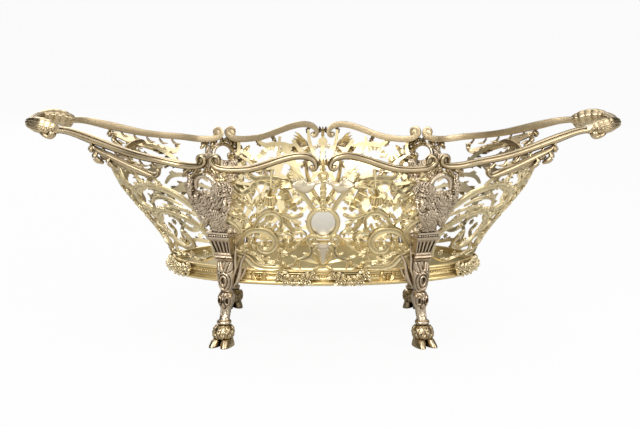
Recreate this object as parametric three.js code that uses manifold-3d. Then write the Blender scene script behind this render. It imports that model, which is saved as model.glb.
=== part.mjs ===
// Silver-gilt basket: an oval pierced basket with a flared wall, fixed end handles and four hoofed legs.
// Millimetres, +Z up. The origin is on the table under the middle of the basket, +X along its length.

import * as THREE from 'three';
import { mergeVertices } from 'three/addons/utils/BufferGeometryUtils.js';
import Module from 'manifold-3d';

const wasm = await Module();
wasm.setup();

// Base band and plate
const BAND_LENGTH = 202;
const BAND_WIDTH = 102;
const BAND_UNDERSIDE = 39.3;
const BAND_HEIGHT = 10;
const BAND_THICKNESS = 2.2;
const FLANGE_PROUD = 1.8;
const FLANGE_HEIGHT = 2.4;
const LIP_PROUD = 0.7;
const LIP_HEIGHT = 1.8;
const LEDGE_WIDTH = 3;
const LEDGE_HEIGHT = 4.4;
const SWAG_THICKNESS = 1.5;
const END_SWAG_THICKNESS = 1.1;
const PLATE_THICKNESS = 1.6;

// Wall
const WALL_RISE = 64;
const LEAN_AT_ENDS = 39;
const LEAN_AT_SIDES = 33;
const SHEET = 1.5;
const RELIEF = 1.3;
const END_UNROLL = 79;

// Rim, handles and their scrolls
const RIM_DIP = 118.4;
const RIM_PEAK = 128.2;
const RAIL_TALL = 4.6;
const RAIL_DEEP = 3.6;
const HANDLE_TALL = 6.6;
const HANDLE_DEEP = 5.2;
const HANDLE_REACH = 194.3;
const HANDLE_SPREAD = 30;
const HANDLE_HEIGHT = 141.6;
const CORNER_INSET = 8;
const CORNER_SETBACK = 1.6;
const CUFF_SWELL = 3;
const CUFF_LENGTH = 18;
const CUFF_DROP = 3.4;
const CUFF_LAP = 0.5;
const BRANCH_WIDTH = 5;
const BRANCH_DEPTH = 3;

// Legs
const LEG_AT = 59;
const LEG_SPLAY = 2;
const ANKLE_HEIGHT = 14.2;
const KNEE_TOP = 55.6;
const BLOCK_TOP = 76.4;
const MASK_TOP = 115.2;
const HOOF_WIDTH = 14.7;
const HOOF_LENGTH = 16.5;
const HEEL_AT = 5.2;
const CLEFT_WIDTH = 1.4;
const CLEFT_DEPTH = 3.4;
const FLUTE_PITCH = 2.6;
const FLUTE_WIDTH = 1.5;
const FLUTE_DEPTH = 0.9;

// Medallion, birds and trophies
const MEDALLION_HEIGHT = 83.5;
const MEDALLION_WIDTH = 15.6;
const MEDALLION_TALL = 20.6;
const MEDALLION_CROWN = 1.9;
const FRAME_WIDTH = 2.6;
const FRAME_HEIGHT = 2.4;
const BOSS_DIAMETER = 7;
const BOSS_CROWN = 3.6;
const BOSS_HEIGHT = 115.4;

// Space left between neighbouring pieces
const CLEARANCE = 0.3;

// Straight steps in each oval
const OVAL_STEPS = 40;
const MEDALLION_STEPS = 20;
const BOSS_STEPS = 10;

// Straight steps along each rail
const RAIL_STEPS = 20;
const SCROLL_STEPS = 22;
const BRANCH_STEPS = 7;
const CUFF_STEPS = 6;
const HANDLE_BAR_STEPS = 10;

// The ornament is drawn for a wall of this length, foot and rise, and stretches with the real one
const DRAWN_LENGTH = 202;
const DRAWN_FOOT = 49.3;
const DRAWN_RISE = 64;

const WALL_FOOT = BAND_UNDERSIDE + BAND_HEIGHT;
const LEDGE_TOP = BAND_UNDERSIDE + LEDGE_HEIGHT;
const RAIL_LIFT = SHEET / 2;
const THICK = SHEET + RELIEF;

// Closed shapes

const v3 = (x, y, z) => new THREE.Vector3(x, y, z);

function volumeOf(positions, triangles) {
  const a = v3();
  const b = v3();
  const c = v3();
  let total = 0;
  for (let i = 0; i < triangles.length; i += 3) {
    a.fromArray(positions, 3 * triangles[i]);
    b.fromArray(positions, 3 * triangles[i + 1]);
    c.fromArray(positions, 3 * triangles[i + 2]);
    total += a.dot(b.cross(c)) / 6;
  }
  return total;
}

// Solid through rings of points that all have the same count, with its faces turned outwards
function loft(rings, closedPath = false) {
  const count = rings[0].length;
  const positions = rings.flat().flatMap((p) => [p.x, p.y, p.z]);
  const triangles = [];
  const spans = closedPath ? rings.length : rings.length - 1;
  for (let i = 0; i < spans; i++) {
    const here = i * count;
    const next = ((i + 1) % rings.length) * count;
    for (let j = 0; j < count; j++) {
      const k = (j + 1) % count;
      triangles.push(here + j, here + k, next + k, here + j, next + k, next + j);
    }
  }
  if (!closedPath) {
    const last = (rings.length - 1) * count;
    for (let j = 1; j < count - 1; j++) {
      triangles.push(0, j + 1, j);
      triangles.push(last, last + j, last + j + 1);
    }
  }
  if (volumeOf(positions, triangles) < 0) {
    for (let i = 0; i < triangles.length; i += 3) {
      [triangles[i], triangles[i + 1]] = [triangles[i + 1], triangles[i]];
    }
  }
  const geometry = new THREE.BufferGeometry();
  geometry.setAttribute('position', new THREE.Float32BufferAttribute(positions, 3));
  geometry.setIndex(triangles);
  return solidOf(geometry);
}

function solidOf(geometry) {
  const bare = geometry.clone();
  bare.deleteAttribute('normal');
  bare.deleteAttribute('uv');
  const merged = mergeVertices(bare, 1e-4);
  return new wasm.Manifold(new wasm.Mesh({
    numProp: 3,
    vertProperties: new Float32Array(merged.attributes.position.array),
    triVerts: new Uint32Array(merged.index.array),
  }));
}

function geometryOf(solid) {
  const mesh = solid.getMesh();
  const geometry = new THREE.BufferGeometry();
  geometry.setAttribute('position', new THREE.Float32BufferAttribute(mesh.vertProperties, 3));
  geometry.setIndex(new THREE.Uint32BufferAttribute(mesh.triVerts, 1));
  geometry.computeVertexNormals();
  return geometry;
}

const union = (solids) => solids.reduce((whole, part) => whole.add(part));
const cut = (solid, ...cutters) => cutters.reduce((left, cutter) => left.subtract(cutter), solid);

// The same solid in another quarter of the basket: side and end are 1 or -1
function mirrored(solid, side, end) {
  if (side === 1 && end === 1) return solid;
  const mesh = solid.getMesh();
  const positions = Float32Array.from(mesh.vertProperties);
  const triangles = Uint32Array.from(mesh.triVerts);
  for (let i = 0; i < positions.length; i += 3) {
    positions[i] *= side;
    positions[i + 1] *= end;
  }
  if (side * end < 0) {
    for (let i = 0; i < triangles.length; i += 3) {
      [triangles[i], triangles[i + 1]] = [triangles[i + 1], triangles[i]];
    }
  }
  return new wasm.Manifold(new wasm.Mesh({ numProp: 3, vertProperties: positions, triVerts: triangles }));
}

const pairAcross = (solid) => [solid, mirrored(solid, -1, 1)];
const pairAlong = (solid) => [solid, mirrored(solid, 1, -1)];
const bothSides = (solid) => union(pairAcross(solid));
const bothHalves = (solid) => union(pairAlong(solid));

// Sections of a bar: [across, outwards], flat at the back, sawn square, ridged, round or a rail's
const FLAT_BACKED = [[-1, 0], [-0.6, 1], [0.6, 1], [1, 0]];
const SAWN = [[-1, 0], [-1, 1], [1, 1], [1, 0]];
const LEAF_SECTION = [[-1, 0], [0, 1], [1, 0]];
const roundSection = (sides) => Array.from({ length: sides }, (_, i) => {
  const angle = (2 * Math.PI * (i + 0.5)) / sides;
  return [Math.cos(angle), Math.sin(angle)];
});
const RAIL_SECTION = [[-0.7, -1], [-1, 0], [-0.7, 1], [0.7, 1], [1, 0], [0.7, -1]];

// Bar swept through stations, each with a point, the direction that faces out and half sizes
function sweep(stations, section, grow = 0) {
  const outs = section.map(([, out]) => out);
  const middle = (Math.max(...outs) + Math.min(...outs)) / 2;
  const last = stations.length - 1;
  const rings = stations.map((station, i) => {
    const before = stations[Math.max(i - 1, 0)].point;
    const after = stations[Math.min(i + 1, last)].point;
    const along = after.clone().sub(before).normalize();
    const across = new THREE.Vector3().crossVectors(along, station.out).normalize();
    const out = new THREE.Vector3().crossVectors(across, along).normalize();
    const centre = station.point.clone();
    if (i === 0) centre.addScaledVector(along, -grow);
    if (i === last) centre.addScaledVector(along, grow);
    return section.map(([a, o]) => centre.clone()
      .addScaledVector(across, a * station.wide + Math.sign(a) * grow)
      .addScaledVector(out, o * station.tall + Math.sign(o - middle) * grow));
  });
  return loft(rings);
}

// Width laws along a stroke: even, fullest in the middle, or thinning like a comma
const constant = (value) => () => value;
const belly = (most, ends = 0.3) => (t) => ends + (most - ends) * Math.sin(Math.PI * t) ** 0.8;
const comma = (from, to) => (t) => to + (from - to) * (1 - t) ** 1.5;

// Wall surface: oval rings that lean out in an S from the base band

function leanShare(z) {
  const t = (z - WALL_FOOT) / WALL_RISE;
  const s = THREE.MathUtils.clamp(t, 0, 1);
  return 0.75 * s * s * (3 - 2 * s) + 0.25 * Math.max(t, 0);
}

function wallAxes(z) {
  const share = leanShare(z);
  return [BAND_LENGTH / 2 + LEAN_AT_ENDS * share, BAND_WIDTH / 2 + LEAN_AT_SIDES * share];
}

function wallNormal(phi, z) {
  const [a, b] = wallAxes(z);
  const [aAbove, bAbove] = wallAxes(z + 0.5);
  const [aBelow, bBelow] = wallAxes(z - 0.5);
  const round = v3(a * Math.cos(phi), b * Math.sin(phi), 0);
  const rise = v3((aAbove - aBelow) * Math.sin(phi), -(bAbove - bBelow) * Math.cos(phi), 1);
  return round.cross(rise).normalize();
}

// phi is 0 at the front middle and a quarter turn at the right end
function wallPoint(phi, z, lift) {
  const [a, b] = wallAxes(z);
  const point = v3(a * Math.sin(phi), -b * Math.cos(phi), z);
  return point.addScaledVector(wallNormal(phi, z), lift);
}

const frontAngle = (x, z) => Math.asin(x / wallAxes(z)[0]);
const endAngle = (s) => Math.PI / 2 + s / END_UNROLL;

// Surfaces that a piece is set on: each turns a place [along, height] and a lift into a point
const front = {
  point: (x, z, lift) => wallPoint(frontAngle(x, z), z, lift),
  out: (x, z) => wallNormal(frontAngle(x, z), z),
};
const rightEnd = {
  point: (s, z, lift) => wallPoint(endAngle(s), z, lift),
  out: (s, z) => wallNormal(endAngle(s), z),
};

// The drawing board: a flat sheet whose strokes are joined before it is bent onto the wall
const board = { point: (u, z, lift) => v3(u, z, lift), out: () => v3(0, 0, 1) };

// Tapering bar whose middle line is drawn on a surface; wide and tall are laws along it
function stroke(surface, { line, wide, tall, steps, lift = 0, section = FLAT_BACKED }) {
  const curve = new THREE.SplineCurve(line.map(([u, z]) => new THREE.Vector2(u, z)));
  const stations = curve.getPoints(steps).map((p, i) => ({
    point: surface.point(p.x, p.y, lift),
    out: surface.out(p.x, p.y),
    wide: wide(i / steps),
    tall: tall(i / steps),
  }));
  return sweep(stations, section);
}

// Plain block on a surface, between two places along it, two heights and two lifts
function slab(surface, [fromU, toU], [fromZ, toZ], [fromLift, toLift]) {
  const corners = [[fromU, fromZ], [toU, fromZ], [toU, toZ], [fromU, toZ]];
  const ring = (lift) => corners.map(([u, z]) => surface.point(u, z, lift));
  return loft([ring(fromLift), ring(toLift)]);
}

function bent(surface, solid) {
  const mesh = solid.getMesh();
  const positions = Float32Array.from(mesh.vertProperties);
  for (let i = 0; i < positions.length; i += 3) {
    surface.point(positions[i], positions[i + 1], positions[i + 2]).toArray(positions, i);
  }
  const { triVerts } = mesh;
  return new wasm.Manifold(new wasm.Mesh({ numProp: 3, vertProperties: positions, triVerts }));
}

// Round or oval piece turned about the wall's normal, from a half profile of [radius, height]
function turned(surface, [u, z, lift], profile, segments, stretch = 1) {
  const geometry = new THREE.LatheGeometry(profile.map(([r, h]) => new THREE.Vector2(r, h)), segments);
  geometry.scale(1, 1, stretch);
  const out = surface.out(u, z);
  const level = surface.point(u + 0.5, z, 0)
    .sub(surface.point(u - 0.5, z, 0))
    .projectOnPlane(out)
    .normalize();
  const turn = new THREE.Matrix4().makeBasis(level, out, level.clone().cross(out));
  turn.setPosition(surface.point(u, z, lift));
  return solidOf(geometry.applyMatrix4(turn));
}

// Places of a drawing, on the wall as it is
const DRAWN_STRETCH = BAND_LENGTH / DRAWN_LENGTH;
const drawnHeight = (z) => WALL_FOOT + (z - DRAWN_FOOT) * WALL_RISE / DRAWN_RISE;
const drawn = (line) => line.map(([u, z]) => [u * DRAWN_STRETCH, drawnHeight(z)]);

const dome = (radius, height) => [[0, 0], [radius, 0], [radius * 0.8, height * 0.65], [0, height]];

// Base band, plate and flower swags

function bandPoint(phi, offset, z) {
  const a = BAND_LENGTH / 2;
  const b = BAND_WIDTH / 2;
  const out = v3(b * Math.sin(phi), -a * Math.cos(phi), 0).normalize();
  return v3(a * Math.sin(phi), -b * Math.cos(phi), z).addScaledVector(out, offset);
}

const band = {
  point: (x, z, lift) => bandPoint(Math.asin(x / (BAND_LENGTH / 2)), lift, z),
  out: (x) => wallNormal(Math.asin(x / (BAND_LENGTH / 2)), BAND_UNDERSIDE).setZ(0).normalize(),
};
const bandEnd = {
  point: (s, z, lift) => bandPoint(endAngle(s), lift, z),
  out: (s) => wallNormal(endAngle(s), BAND_UNDERSIDE).setZ(0).normalize(),
};

const ovalAngles = Array.from({ length: OVAL_STEPS }, (_, i) => (2 * Math.PI * i) / OVAL_STEPS);

function makeBaseBand(grow = 0) {
  const foot = BAND_UNDERSIDE - grow;
  const top = WALL_FOOT + grow;
  const inner = -BAND_THICKNESS - grow;
  const profile = [
    [inner - LEDGE_WIDTH, foot],
    [FLANGE_PROUD * 0.7 + grow, foot],
    [FLANGE_PROUD + grow, BAND_UNDERSIDE + FLANGE_HEIGHT / 2],
    [grow, BAND_UNDERSIDE + FLANGE_HEIGHT + grow],
    [grow, WALL_FOOT - LIP_HEIGHT - grow],
    [LIP_PROUD + grow, top],
    [inner, top],
    [inner, LEDGE_TOP],
    [inner - LEDGE_WIDTH, LEDGE_TOP],
  ];
  return loft(ovalAngles.map((phi) => profile.map(([offset, z]) => bandPoint(phi, offset, z))), true);
}

function makeBasePlate() {
  const edge = -BAND_THICKNESS - CLEARANCE;
  const foot = LEDGE_TOP + CLEARANCE;
  const oval = (z) => ovalAngles.map((phi) => bandPoint(phi, edge, z));
  return loft([oval(foot), oval(foot + PLATE_THICKNESS)]);
}

// Half a garland of flowers that hangs in loops over the band, from a rosette to the middle
function makeSwag(surface, half, thickness, lift) {
  const line = half.map(([u, aboveFoot]) => [u * DRAWN_STRETCH, BAND_UNDERSIDE + aboveFoot]);
  const rope = stroke(surface, {
    line,
    wide: (t) => thickness * (1 + 0.4 * Math.sin(2 * Math.PI * t) ** 2),
    tall: constant(thickness),
    steps: 7,
    lift: lift + thickness,
    section: roundSection(5),
  });
  const rosette = turned(surface, [...line[0], lift], dome(2 * thickness, 2.2 * thickness), 6);
  return rope.add(rosette);
}

// Places along the band and above its foot
const SWAG_HALF = [[27.5, 6.7], [25.6, 4.1], [18, 1.5], [9, 3.7], [0, 7.3]];
const END_SWAG_HALF = [[44, 6.7], [36, 4.1], [27, 4.3], [18, 6.9], [9, 4.7], [0, 4.5]];

// Rim rails and handles

function bar(points, outs, wide, tall, steps, grow) {
  const path = new THREE.CatmullRomCurve3(points, false, 'centripetal');
  const facing = new THREE.CatmullRomCurve3(outs, false, 'centripetal');
  const stations = Array.from({ length: steps + 1 }, (_, i) => ({
    point: path.getPoint(i / steps),
    out: facing.getPoint(i / steps).normalize(),
    wide: wide(i / steps),
    tall: tall(i / steps),
  }));
  return sweep(stations, RAIL_SECTION, grow);
}

// Width law of a rail that narrows to a share of its size over the given parts at its ends
const narrowEnds = (size, share, from, to) => (t) => (
  size * Math.min(1, share + (1 - share) * t / from, share + (1 - share) * (1 - t) / to)
);

// Places along the side and heights
const CENTRE_SCROLL = [
  [6.4, RIM_PEAK - 8.4], [3.9, RIM_PEAK - 5.6], [6.4, RIM_PEAK - 1.8], [15, RIM_PEAK],
  [27, RIM_PEAK - 2.8], [39, RIM_DIP + 2.6], [50, RIM_DIP + 0.2], [59, RIM_DIP - 0.2],
  [65.6, RIM_DIP + 1], [69, RIM_DIP + 4.4], [68.2, RIM_DIP + 8], [65, RIM_DIP + 8.6],
  [63.6, RIM_DIP + 6],
];

function makeCentreScroll(grow = 0) {
  const line = CENTRE_SCROLL.map(([x, z]) => [x * DRAWN_STRETCH, z]);
  const points = line.map(([x, z]) => front.point(x, z, RAIL_LIFT));
  const outs = line.map(([x, z]) => front.out(x, z));
  const tall = narrowEnds(RAIL_TALL / 2, 0.55, 0.2, 0.3);
  return bar(points, outs, tall, constant(RAIL_DEEP / 2), SCROLL_STEPS, grow);
}

const SHOULDER_CURL = [
  [78.4, RIM_DIP + 7.4], [76.4, RIM_DIP + 9.8], [74.1, RIM_DIP + 8.4], [73.6, RIM_DIP + 5],
  [76.2, RIM_DIP + 2], [81.4, RIM_DIP + 0.9], [89, RIM_DIP + 1.5],
].map(([x, z]) => [x * DRAWN_STRETCH, z]);

const barReach = HANDLE_REACH - HANDLE_DEEP / 2 + CLEARANCE;
const cuffEnd = v3(barReach - CORNER_SETBACK, CORNER_INSET - HANDLE_SPREAD, HANDLE_HEIGHT - 0.6);
const cuffStart = v3(cuffEnd.x - CUFF_LENGTH, -HANDLE_SPREAD, cuffEnd.z - CUFF_DROP);

// The rail's run from its curl to the cuff, as shares of the way along, across and up
const RAIL_RUN = [
  [0, 0, 0], [0.14, 0.09, 0.11], [0.3, 0.25, 0.21], [0.45, 0.45, 0.345], [0.706, 0.736, 0.672],
  [0.9, 0.93, 0.932], [1, 1, 1],
];
const curlEnd = front.point(...SHOULDER_CURL[SHOULDER_CURL.length - 1], RAIL_LIFT);
const runPoint = ([x, y, z]) => v3(
  THREE.MathUtils.lerp(curlEnd.x, cuffStart.x, x),
  THREE.MathUtils.lerp(curlEnd.y, cuffStart.y, y),
  THREE.MathUtils.lerp(curlEnd.z, cuffStart.z, z),
);

// Point of the run at a share of the way along
function runAt(share) {
  const next = RAIL_RUN.findIndex(([x]) => x > share);
  const [before, after] = [RAIL_RUN[next - 1], RAIL_RUN[next]];
  const part = (share - before[0]) / (after[0] - before[0]);
  return runPoint(before).lerp(runPoint(after), part);
}

function makeShoulderRail(grow = 0) {
  const points = [
    ...SHOULDER_CURL.map(([x, z]) => front.point(x, z, RAIL_LIFT)),
    ...RAIL_RUN.slice(1).map(runPoint),
  ];
  const outs = [
    ...SHOULDER_CURL.map(([x, z]) => front.out(x, z)),
    ...RAIL_RUN.slice(1, -1).map(() => v3(0.45, -1, -0.1).normalize()),
    v3(0.2, -1, 0),
  ];
  const swell = (small, large) => (t) => (
    small * Math.min(1, 0.6 + 2 * t) + (large - small) * THREE.MathUtils.smoothstep(t, 0.5, 0.85)
  );
  const wide = swell(RAIL_TALL / 2, HANDLE_TALL / 2);
  const tall = swell(RAIL_DEEP / 2, HANDLE_DEEP / 2);
  return bar(points, outs, wide, tall, RAIL_STEPS, grow);
}

function makeHandleCuff() {
  const along = cuffEnd.clone().sub(cuffStart).normalize();
  const start = cuffStart.clone().addScaledVector(along, -CUFF_LAP);
  const end = cuffEnd.clone().addScaledVector(along, CUFF_LAP);
  const swell = (size) => (t) => size + CUFF_SWELL * Math.sin(Math.PI * Math.min(1, 0.15 + t)) ** 0.7;
  const bend = start.clone().lerp(end, 0.55).add(v3(0.8, -1.8, 0.6));
  const outs = [v3(0.3, -1, 0), v3(0.4, -1, 0), v3(0.9, -0.6, 0)];
  const wide = swell(HANDLE_TALL / 2 - 0.4);
  const tall = swell(HANDLE_DEEP / 2 - 0.2);
  return bar([start, bend, end], outs, wide, tall, CUFF_STEPS, 0);
}

function makeHandleBar(grow = 0) {
  const half = [cuffEnd.clone(), v3(barReach - 0.3, 0.55 * cuffEnd.y, HANDLE_HEIGHT)];
  const far = half.map((p) => v3(p.x, -p.y, p.z)).reverse();
  const points = [...half, v3(barReach, 0, HANDLE_HEIGHT + 0.2), ...far];
  const outs = points.map((p) => v3(1, 0.4 * p.y / HANDLE_SPREAD, 0).normalize());
  const wide = constant(HANDLE_TALL / 2 - 0.5);
  const tall = constant(HANDLE_DEEP / 2 - 0.3);
  return bar(points, outs, wide, tall, HANDLE_BAR_STEPS, grow);
}

// Leafy scroll that leaves the handle rail and dies into the end wall, with a bud under the rail.
// Its places are shares of the rail's run, distances outwards and drops below the rail.
const UNDER_SCROLL = [
  [0.815, 0.9, 4.8], [0.634, 0.9, 6.8], [0.43, 0, 8.2], [0.273, -1.7, 10.2], [0.182, -1.6, 10.2],
  [0.146, -1, 7.2],
];
const BUD_AT = 0.742;
const BUD = [[0, 0.9], [2.4, 2.4], [5, 2.6], [7.4, 1]];
const BUD_DROP = 4.4;

function makeUnderScroll(grow = 0) {
  const points = UNDER_SCROLL.map(([share, outwards, drop]) => (
    runAt(share).add(v3(0, -outwards, -drop))
  ));
  const outs = points.map(() => v3(0.45, -1, -0.3).normalize());
  const wide = narrowEnds(BRANCH_WIDTH / 2, 0.5, 0.3, 0.4);
  const branch = bar(points, outs, wide, constant(BRANCH_DEPTH / 2), BRANCH_STEPS, grow);
  const stem = runAt(BUD_AT).add(v3(0, -1.2, -BUD_DROP));
  const bud = sweep(BUD.map(([drop, wideness]) => ({
    point: stem.clone().add(v3(-drop * 0.25, -drop * 0.1, -drop)),
    out: v3(0, -1, 0),
    wide: wideness,
    tall: wideness,
  })), roundSection(5), grow);
  return branch.add(bud);
}

// Rim of the end wall, which dips below the handle
const END_RIM = [
  [-40, RIM_DIP + 0.8], [-33, RIM_DIP + 2.6], [-26, RIM_DIP + 0.8], [-17, RIM_DIP - 3.8],
  [-8, RIM_DIP - 5.6], [0, RIM_DIP - 3.4],
];

function makeEndRim(grow = 0) {
  const line = [...END_RIM, ...END_RIM.slice(0, -1).reverse().map(([s, z]) => [-s, z])];
  const points = line.map(([s, z]) => rightEnd.point(s, z, RAIL_LIFT));
  const outs = line.map(([s, z]) => rightEnd.out(s, z));
  const wide = narrowEnds(RAIL_TALL / 2 - 0.4, 0.6, 0.15, 0.15);
  return bar(points, outs, wide, constant(RAIL_DEEP / 2 - 0.3), RAIL_STEPS, grow);
}

// Legs, in a frame of their own: out from the band, along it and up

const legAngle = Math.asin(LEG_AT / (BAND_LENGTH / 2));
const legOrigin = bandPoint(legAngle, 0, 0);
const legOut = bandPoint(legAngle, 1, 0).sub(legOrigin).normalize();
const legAlong = v3(-legOut.y, legOut.x, 0);

const splayAt = (z) => LEG_SPLAY * Math.max(0, 1 - z / KNEE_TOP);
const legPoint = (out, along, z) => legOrigin.clone()
  .addScaledVector(legOut, out)
  .addScaledVector(legAlong, along + splayAt(z))
  .setZ(z);

// Ring at height z from back to front and half as wide as given, with the corners' roundness
function legRing([z, back, frontReach, halfWidth], roundness, sides, grow) {
  const centre = (back + frontReach) / 2;
  const deep = (frontReach - back) / 2 + grow;
  const wide = halfWidth + grow;
  return Array.from({ length: sides }, (_, i) => {
    const angle = (2 * Math.PI * (i + 0.5)) / sides;
    const c = Math.cos(angle);
    const s = Math.sin(angle);
    return legPoint(
      centre + deep * Math.sign(c) * Math.abs(c) ** roundness,
      wide * Math.sign(s) * Math.abs(s) ** roundness,
      z);
  });
}

function legLoft(rows, roundness, sides, grow = 0) {
  const grown = rows.map((row) => [...row]);
  grown[0][0] -= grow;
  grown[grown.length - 1][0] += grow;
  return loft(grown.map((row) => legRing(row, roundness, sides, grow)));
}

function makeHoof() {
  const halfWidth = HOOF_WIDTH / 2;
  const toe = HEEL_AT + HOOF_LENGTH;
  const ankle = ANKLE_HEIGHT - CLEARANCE;
  const hoof = legLoft([
    [0, HEEL_AT, toe, halfWidth],
    [4.8, HEEL_AT + 0.6, toe - 3.6, halfWidth - 1.5],
    [5.2, HEEL_AT + 0.4, toe - 4.4, halfWidth - 2.1],
    [7.2, HEEL_AT - 0.6, toe - 3.4, halfWidth - 1.1],
    [10, HEEL_AT - 1, toe - 4, halfWidth - 0.9],
    [12.6, HEEL_AT, toe - 5.8, halfWidth - 2],
    [ankle, HEEL_AT + 1.4, toe - 7.6, halfWidth - 3.5],
  ], 0.9, 9);
  const past = toe + 1;
  const cleft = loft([[1.2, 0], [4.4, 0.5]].map(([z, slope]) => [
    legPoint(past, -CLEFT_WIDTH / 2, z),
    legPoint(past, CLEFT_WIDTH / 2, z),
    legPoint(toe - CLEFT_DEPTH + slope, 0, z),
  ]));
  return hoof.subtract(cleft);
}

// Height, back, front and half width: ring, shank, hock, neck and knee
const LEG_ROWS = [
  [ANKLE_HEIGHT, 6.4, 14.6, 4.3], [ANKLE_HEIGHT + 2.5, 6, 14, 4.3],
  [17.3, 6.6, 13, 3.2], [20.5, 5.4, 12, 3.4], [25, 3.8, 11.4, 3.7],
  [27.6, 2.4, 12.6, 5], [31, 1.8, 13.4, 5.2], [34.2, 3, 12.6, 4.2],
  [35.8, 3.6, 12, 3.5],
  [38.5, 2.4, 13, 4.7], [43, 0.4, 14.2, 5.7], [49, 0, 14.4, 6.2], [KNEE_TOP, 0, 13.8, 6.2],
];

const makeLeg = (grow = 0) => legLoft(LEG_ROWS, 0.85, 8, grow);

// Reeded foot, fluted shaft and cap
const BLOCK_ROWS = [
  [KNEE_TOP + CLEARANCE, 2.4, 13.2, 5.6], [KNEE_TOP + 5.4, 5.4, 15.2, 5.6],
  [KNEE_TOP + 5.8, 5.8, 14.6, 5.2], [BLOCK_TOP - 6, 11, 20.2, 6.7],
  [BLOCK_TOP - 5.4, 11.2, 22.2, 7.8], [BLOCK_TOP - 3, 12.8, 23.4, 8.2], [BLOCK_TOP, 15.6, 24.2, 7.6],
];

function makeFlutedBlock(grow = 0) {
  const block = legLoft(BLOCK_ROWS, 0.35, 8, grow);
  if (grow > 0) return block;
  const past = 2;
  const groove = (along, z, face) => [
    legPoint(face - FLUTE_DEPTH, along, z),
    legPoint(face + past, along - FLUTE_WIDTH / 2, z),
    legPoint(face + past, along + FLUTE_WIDTH / 2, z),
  ];
  const flutes = [-1.5, -0.5, 0.5, 1.5].map((place) => {
    const along = place * FLUTE_PITCH;
    return loft([groove(along, KNEE_TOP + 6.8, 15.2), groove(along, BLOCK_TOP - 7, 19.6)]);
  });
  return cut(block, ...flutes);
}

// Beard, muzzle, cheeks, brow and hair, leaning out with the wall
const MASK_ROWS = [
  [BLOCK_TOP + CLEARANCE, 16, 23.6, 6.4], [80, 18.4, 26, 6.6], [84.6, 21.6, 31.4, 7.4],
  [89, 24.6, 36, 8.8], [94, 28, 39.4, 10.6], [99.6, 31.2, 41.6, 12],
  [105, 33.6, 43.4, 12.2], [110, 35, 43.2, 11], [MASK_TOP, 35.6, 41, 8.4],
];

const makeMask = (grow = 0) => legLoft(MASK_ROWS, 0.8, 10, grow);

// Middle of the long sides: medallion, boss, birds and ox skull

const MEDALLION_STRETCH = MEDALLION_TALL / MEDALLION_WIDTH;

function makeMedallionFrame(grow = 0) {
  const inner = MEDALLION_WIDTH / 2 + CLEARANCE;
  const outer = inner + FRAME_WIDTH;
  const profile = [
    [inner - grow, -grow], [outer + grow, -grow], [outer + grow, FRAME_HEIGHT * 0.6 + grow],
    [(inner + outer) / 2, FRAME_HEIGHT + grow], [inner - grow, FRAME_HEIGHT * 0.6],
    [inner - grow, -grow],
  ];
  return turned(front, [0, MEDALLION_HEIGHT, 0], profile, MEDALLION_STEPS, MEDALLION_STRETCH);
}

function makeMedallion() {
  const face = dome(MEDALLION_WIDTH / 2, MEDALLION_CROWN);
  return turned(front, [0, MEDALLION_HEIGHT, 0.2], face, MEDALLION_STEPS, MEDALLION_STRETCH);
}

function makeBoss(grow = 0) {
  const face = dome(BOSS_DIAMETER / 2 + grow, BOSS_CROWN + grow);
  return turned(front, [0, BOSS_HEIGHT, RAIL_LIFT - 1], face, BOSS_STEPS);
}

// Figures stand on the openwork
const FIGURE_LIFT = THICK + CLEARANCE;

// Bird in profile with its wing raised, beak towards the middle
function makeDove() {
  const body = stroke(front, {
    line: drawn([[0.5, 111.6], [3.2, 112], [6.6, 109.6], [12, 108.4], [18, 109.6], [26, 111]]),
    wide: (t) => 0.5 + 3.1 * Math.sin(Math.PI * Math.min(1, t * 1.12)) ** 1.1,
    tall: (t) => 0.8 + 1.6 * Math.sin(Math.PI * t),
    steps: 8,
    lift: FIGURE_LIFT,
  });
  const wing = stroke(front, {
    line: drawn([[9.6, 109.4], [14, 114.6], [18.8, 117.2], [23.6, 118]]),
    wide: belly(3, 0.6),
    tall: constant(1.6),
    steps: 4,
    lift: FIGURE_LIFT + 0.3,
    section: LEAF_SECTION,
  });
  return body.add(wing);
}

function makeOxSkull() {
  const skull = stroke(front, {
    line: drawn([[0, 70.6], [0, 64], [0, 57.4]]),
    wide: (t) => 3.6 - 1.9 * t,
    tall: (t) => 2.6 - 1.2 * t,
    steps: 3,
    lift: FIGURE_LIFT,
  });
  const horn = stroke(front, {
    line: drawn([[2.2, 68.4], [6.6, 69.4], [8.4, 66.4], [6.4, 64.4]]),
    wide: comma(1.4, 0.6),
    tall: constant(1.4),
    steps: 4,
    lift: FIGURE_LIFT,
  });
  const strap = stroke(front, {
    line: drawn([[0.6, 58.6], [6, 54], [12, 54.4], [16, 58], [21, 63.4]]),
    wide: constant(1.5),
    tall: constant(1.3),
    steps: 5,
    lift: FIGURE_LIFT,
  });
  return union([skull, bothSides(horn), bothSides(strap)]);
}

// Openwork of the long sides: each stroke's middle line of [x, z], its half width and its steps

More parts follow.
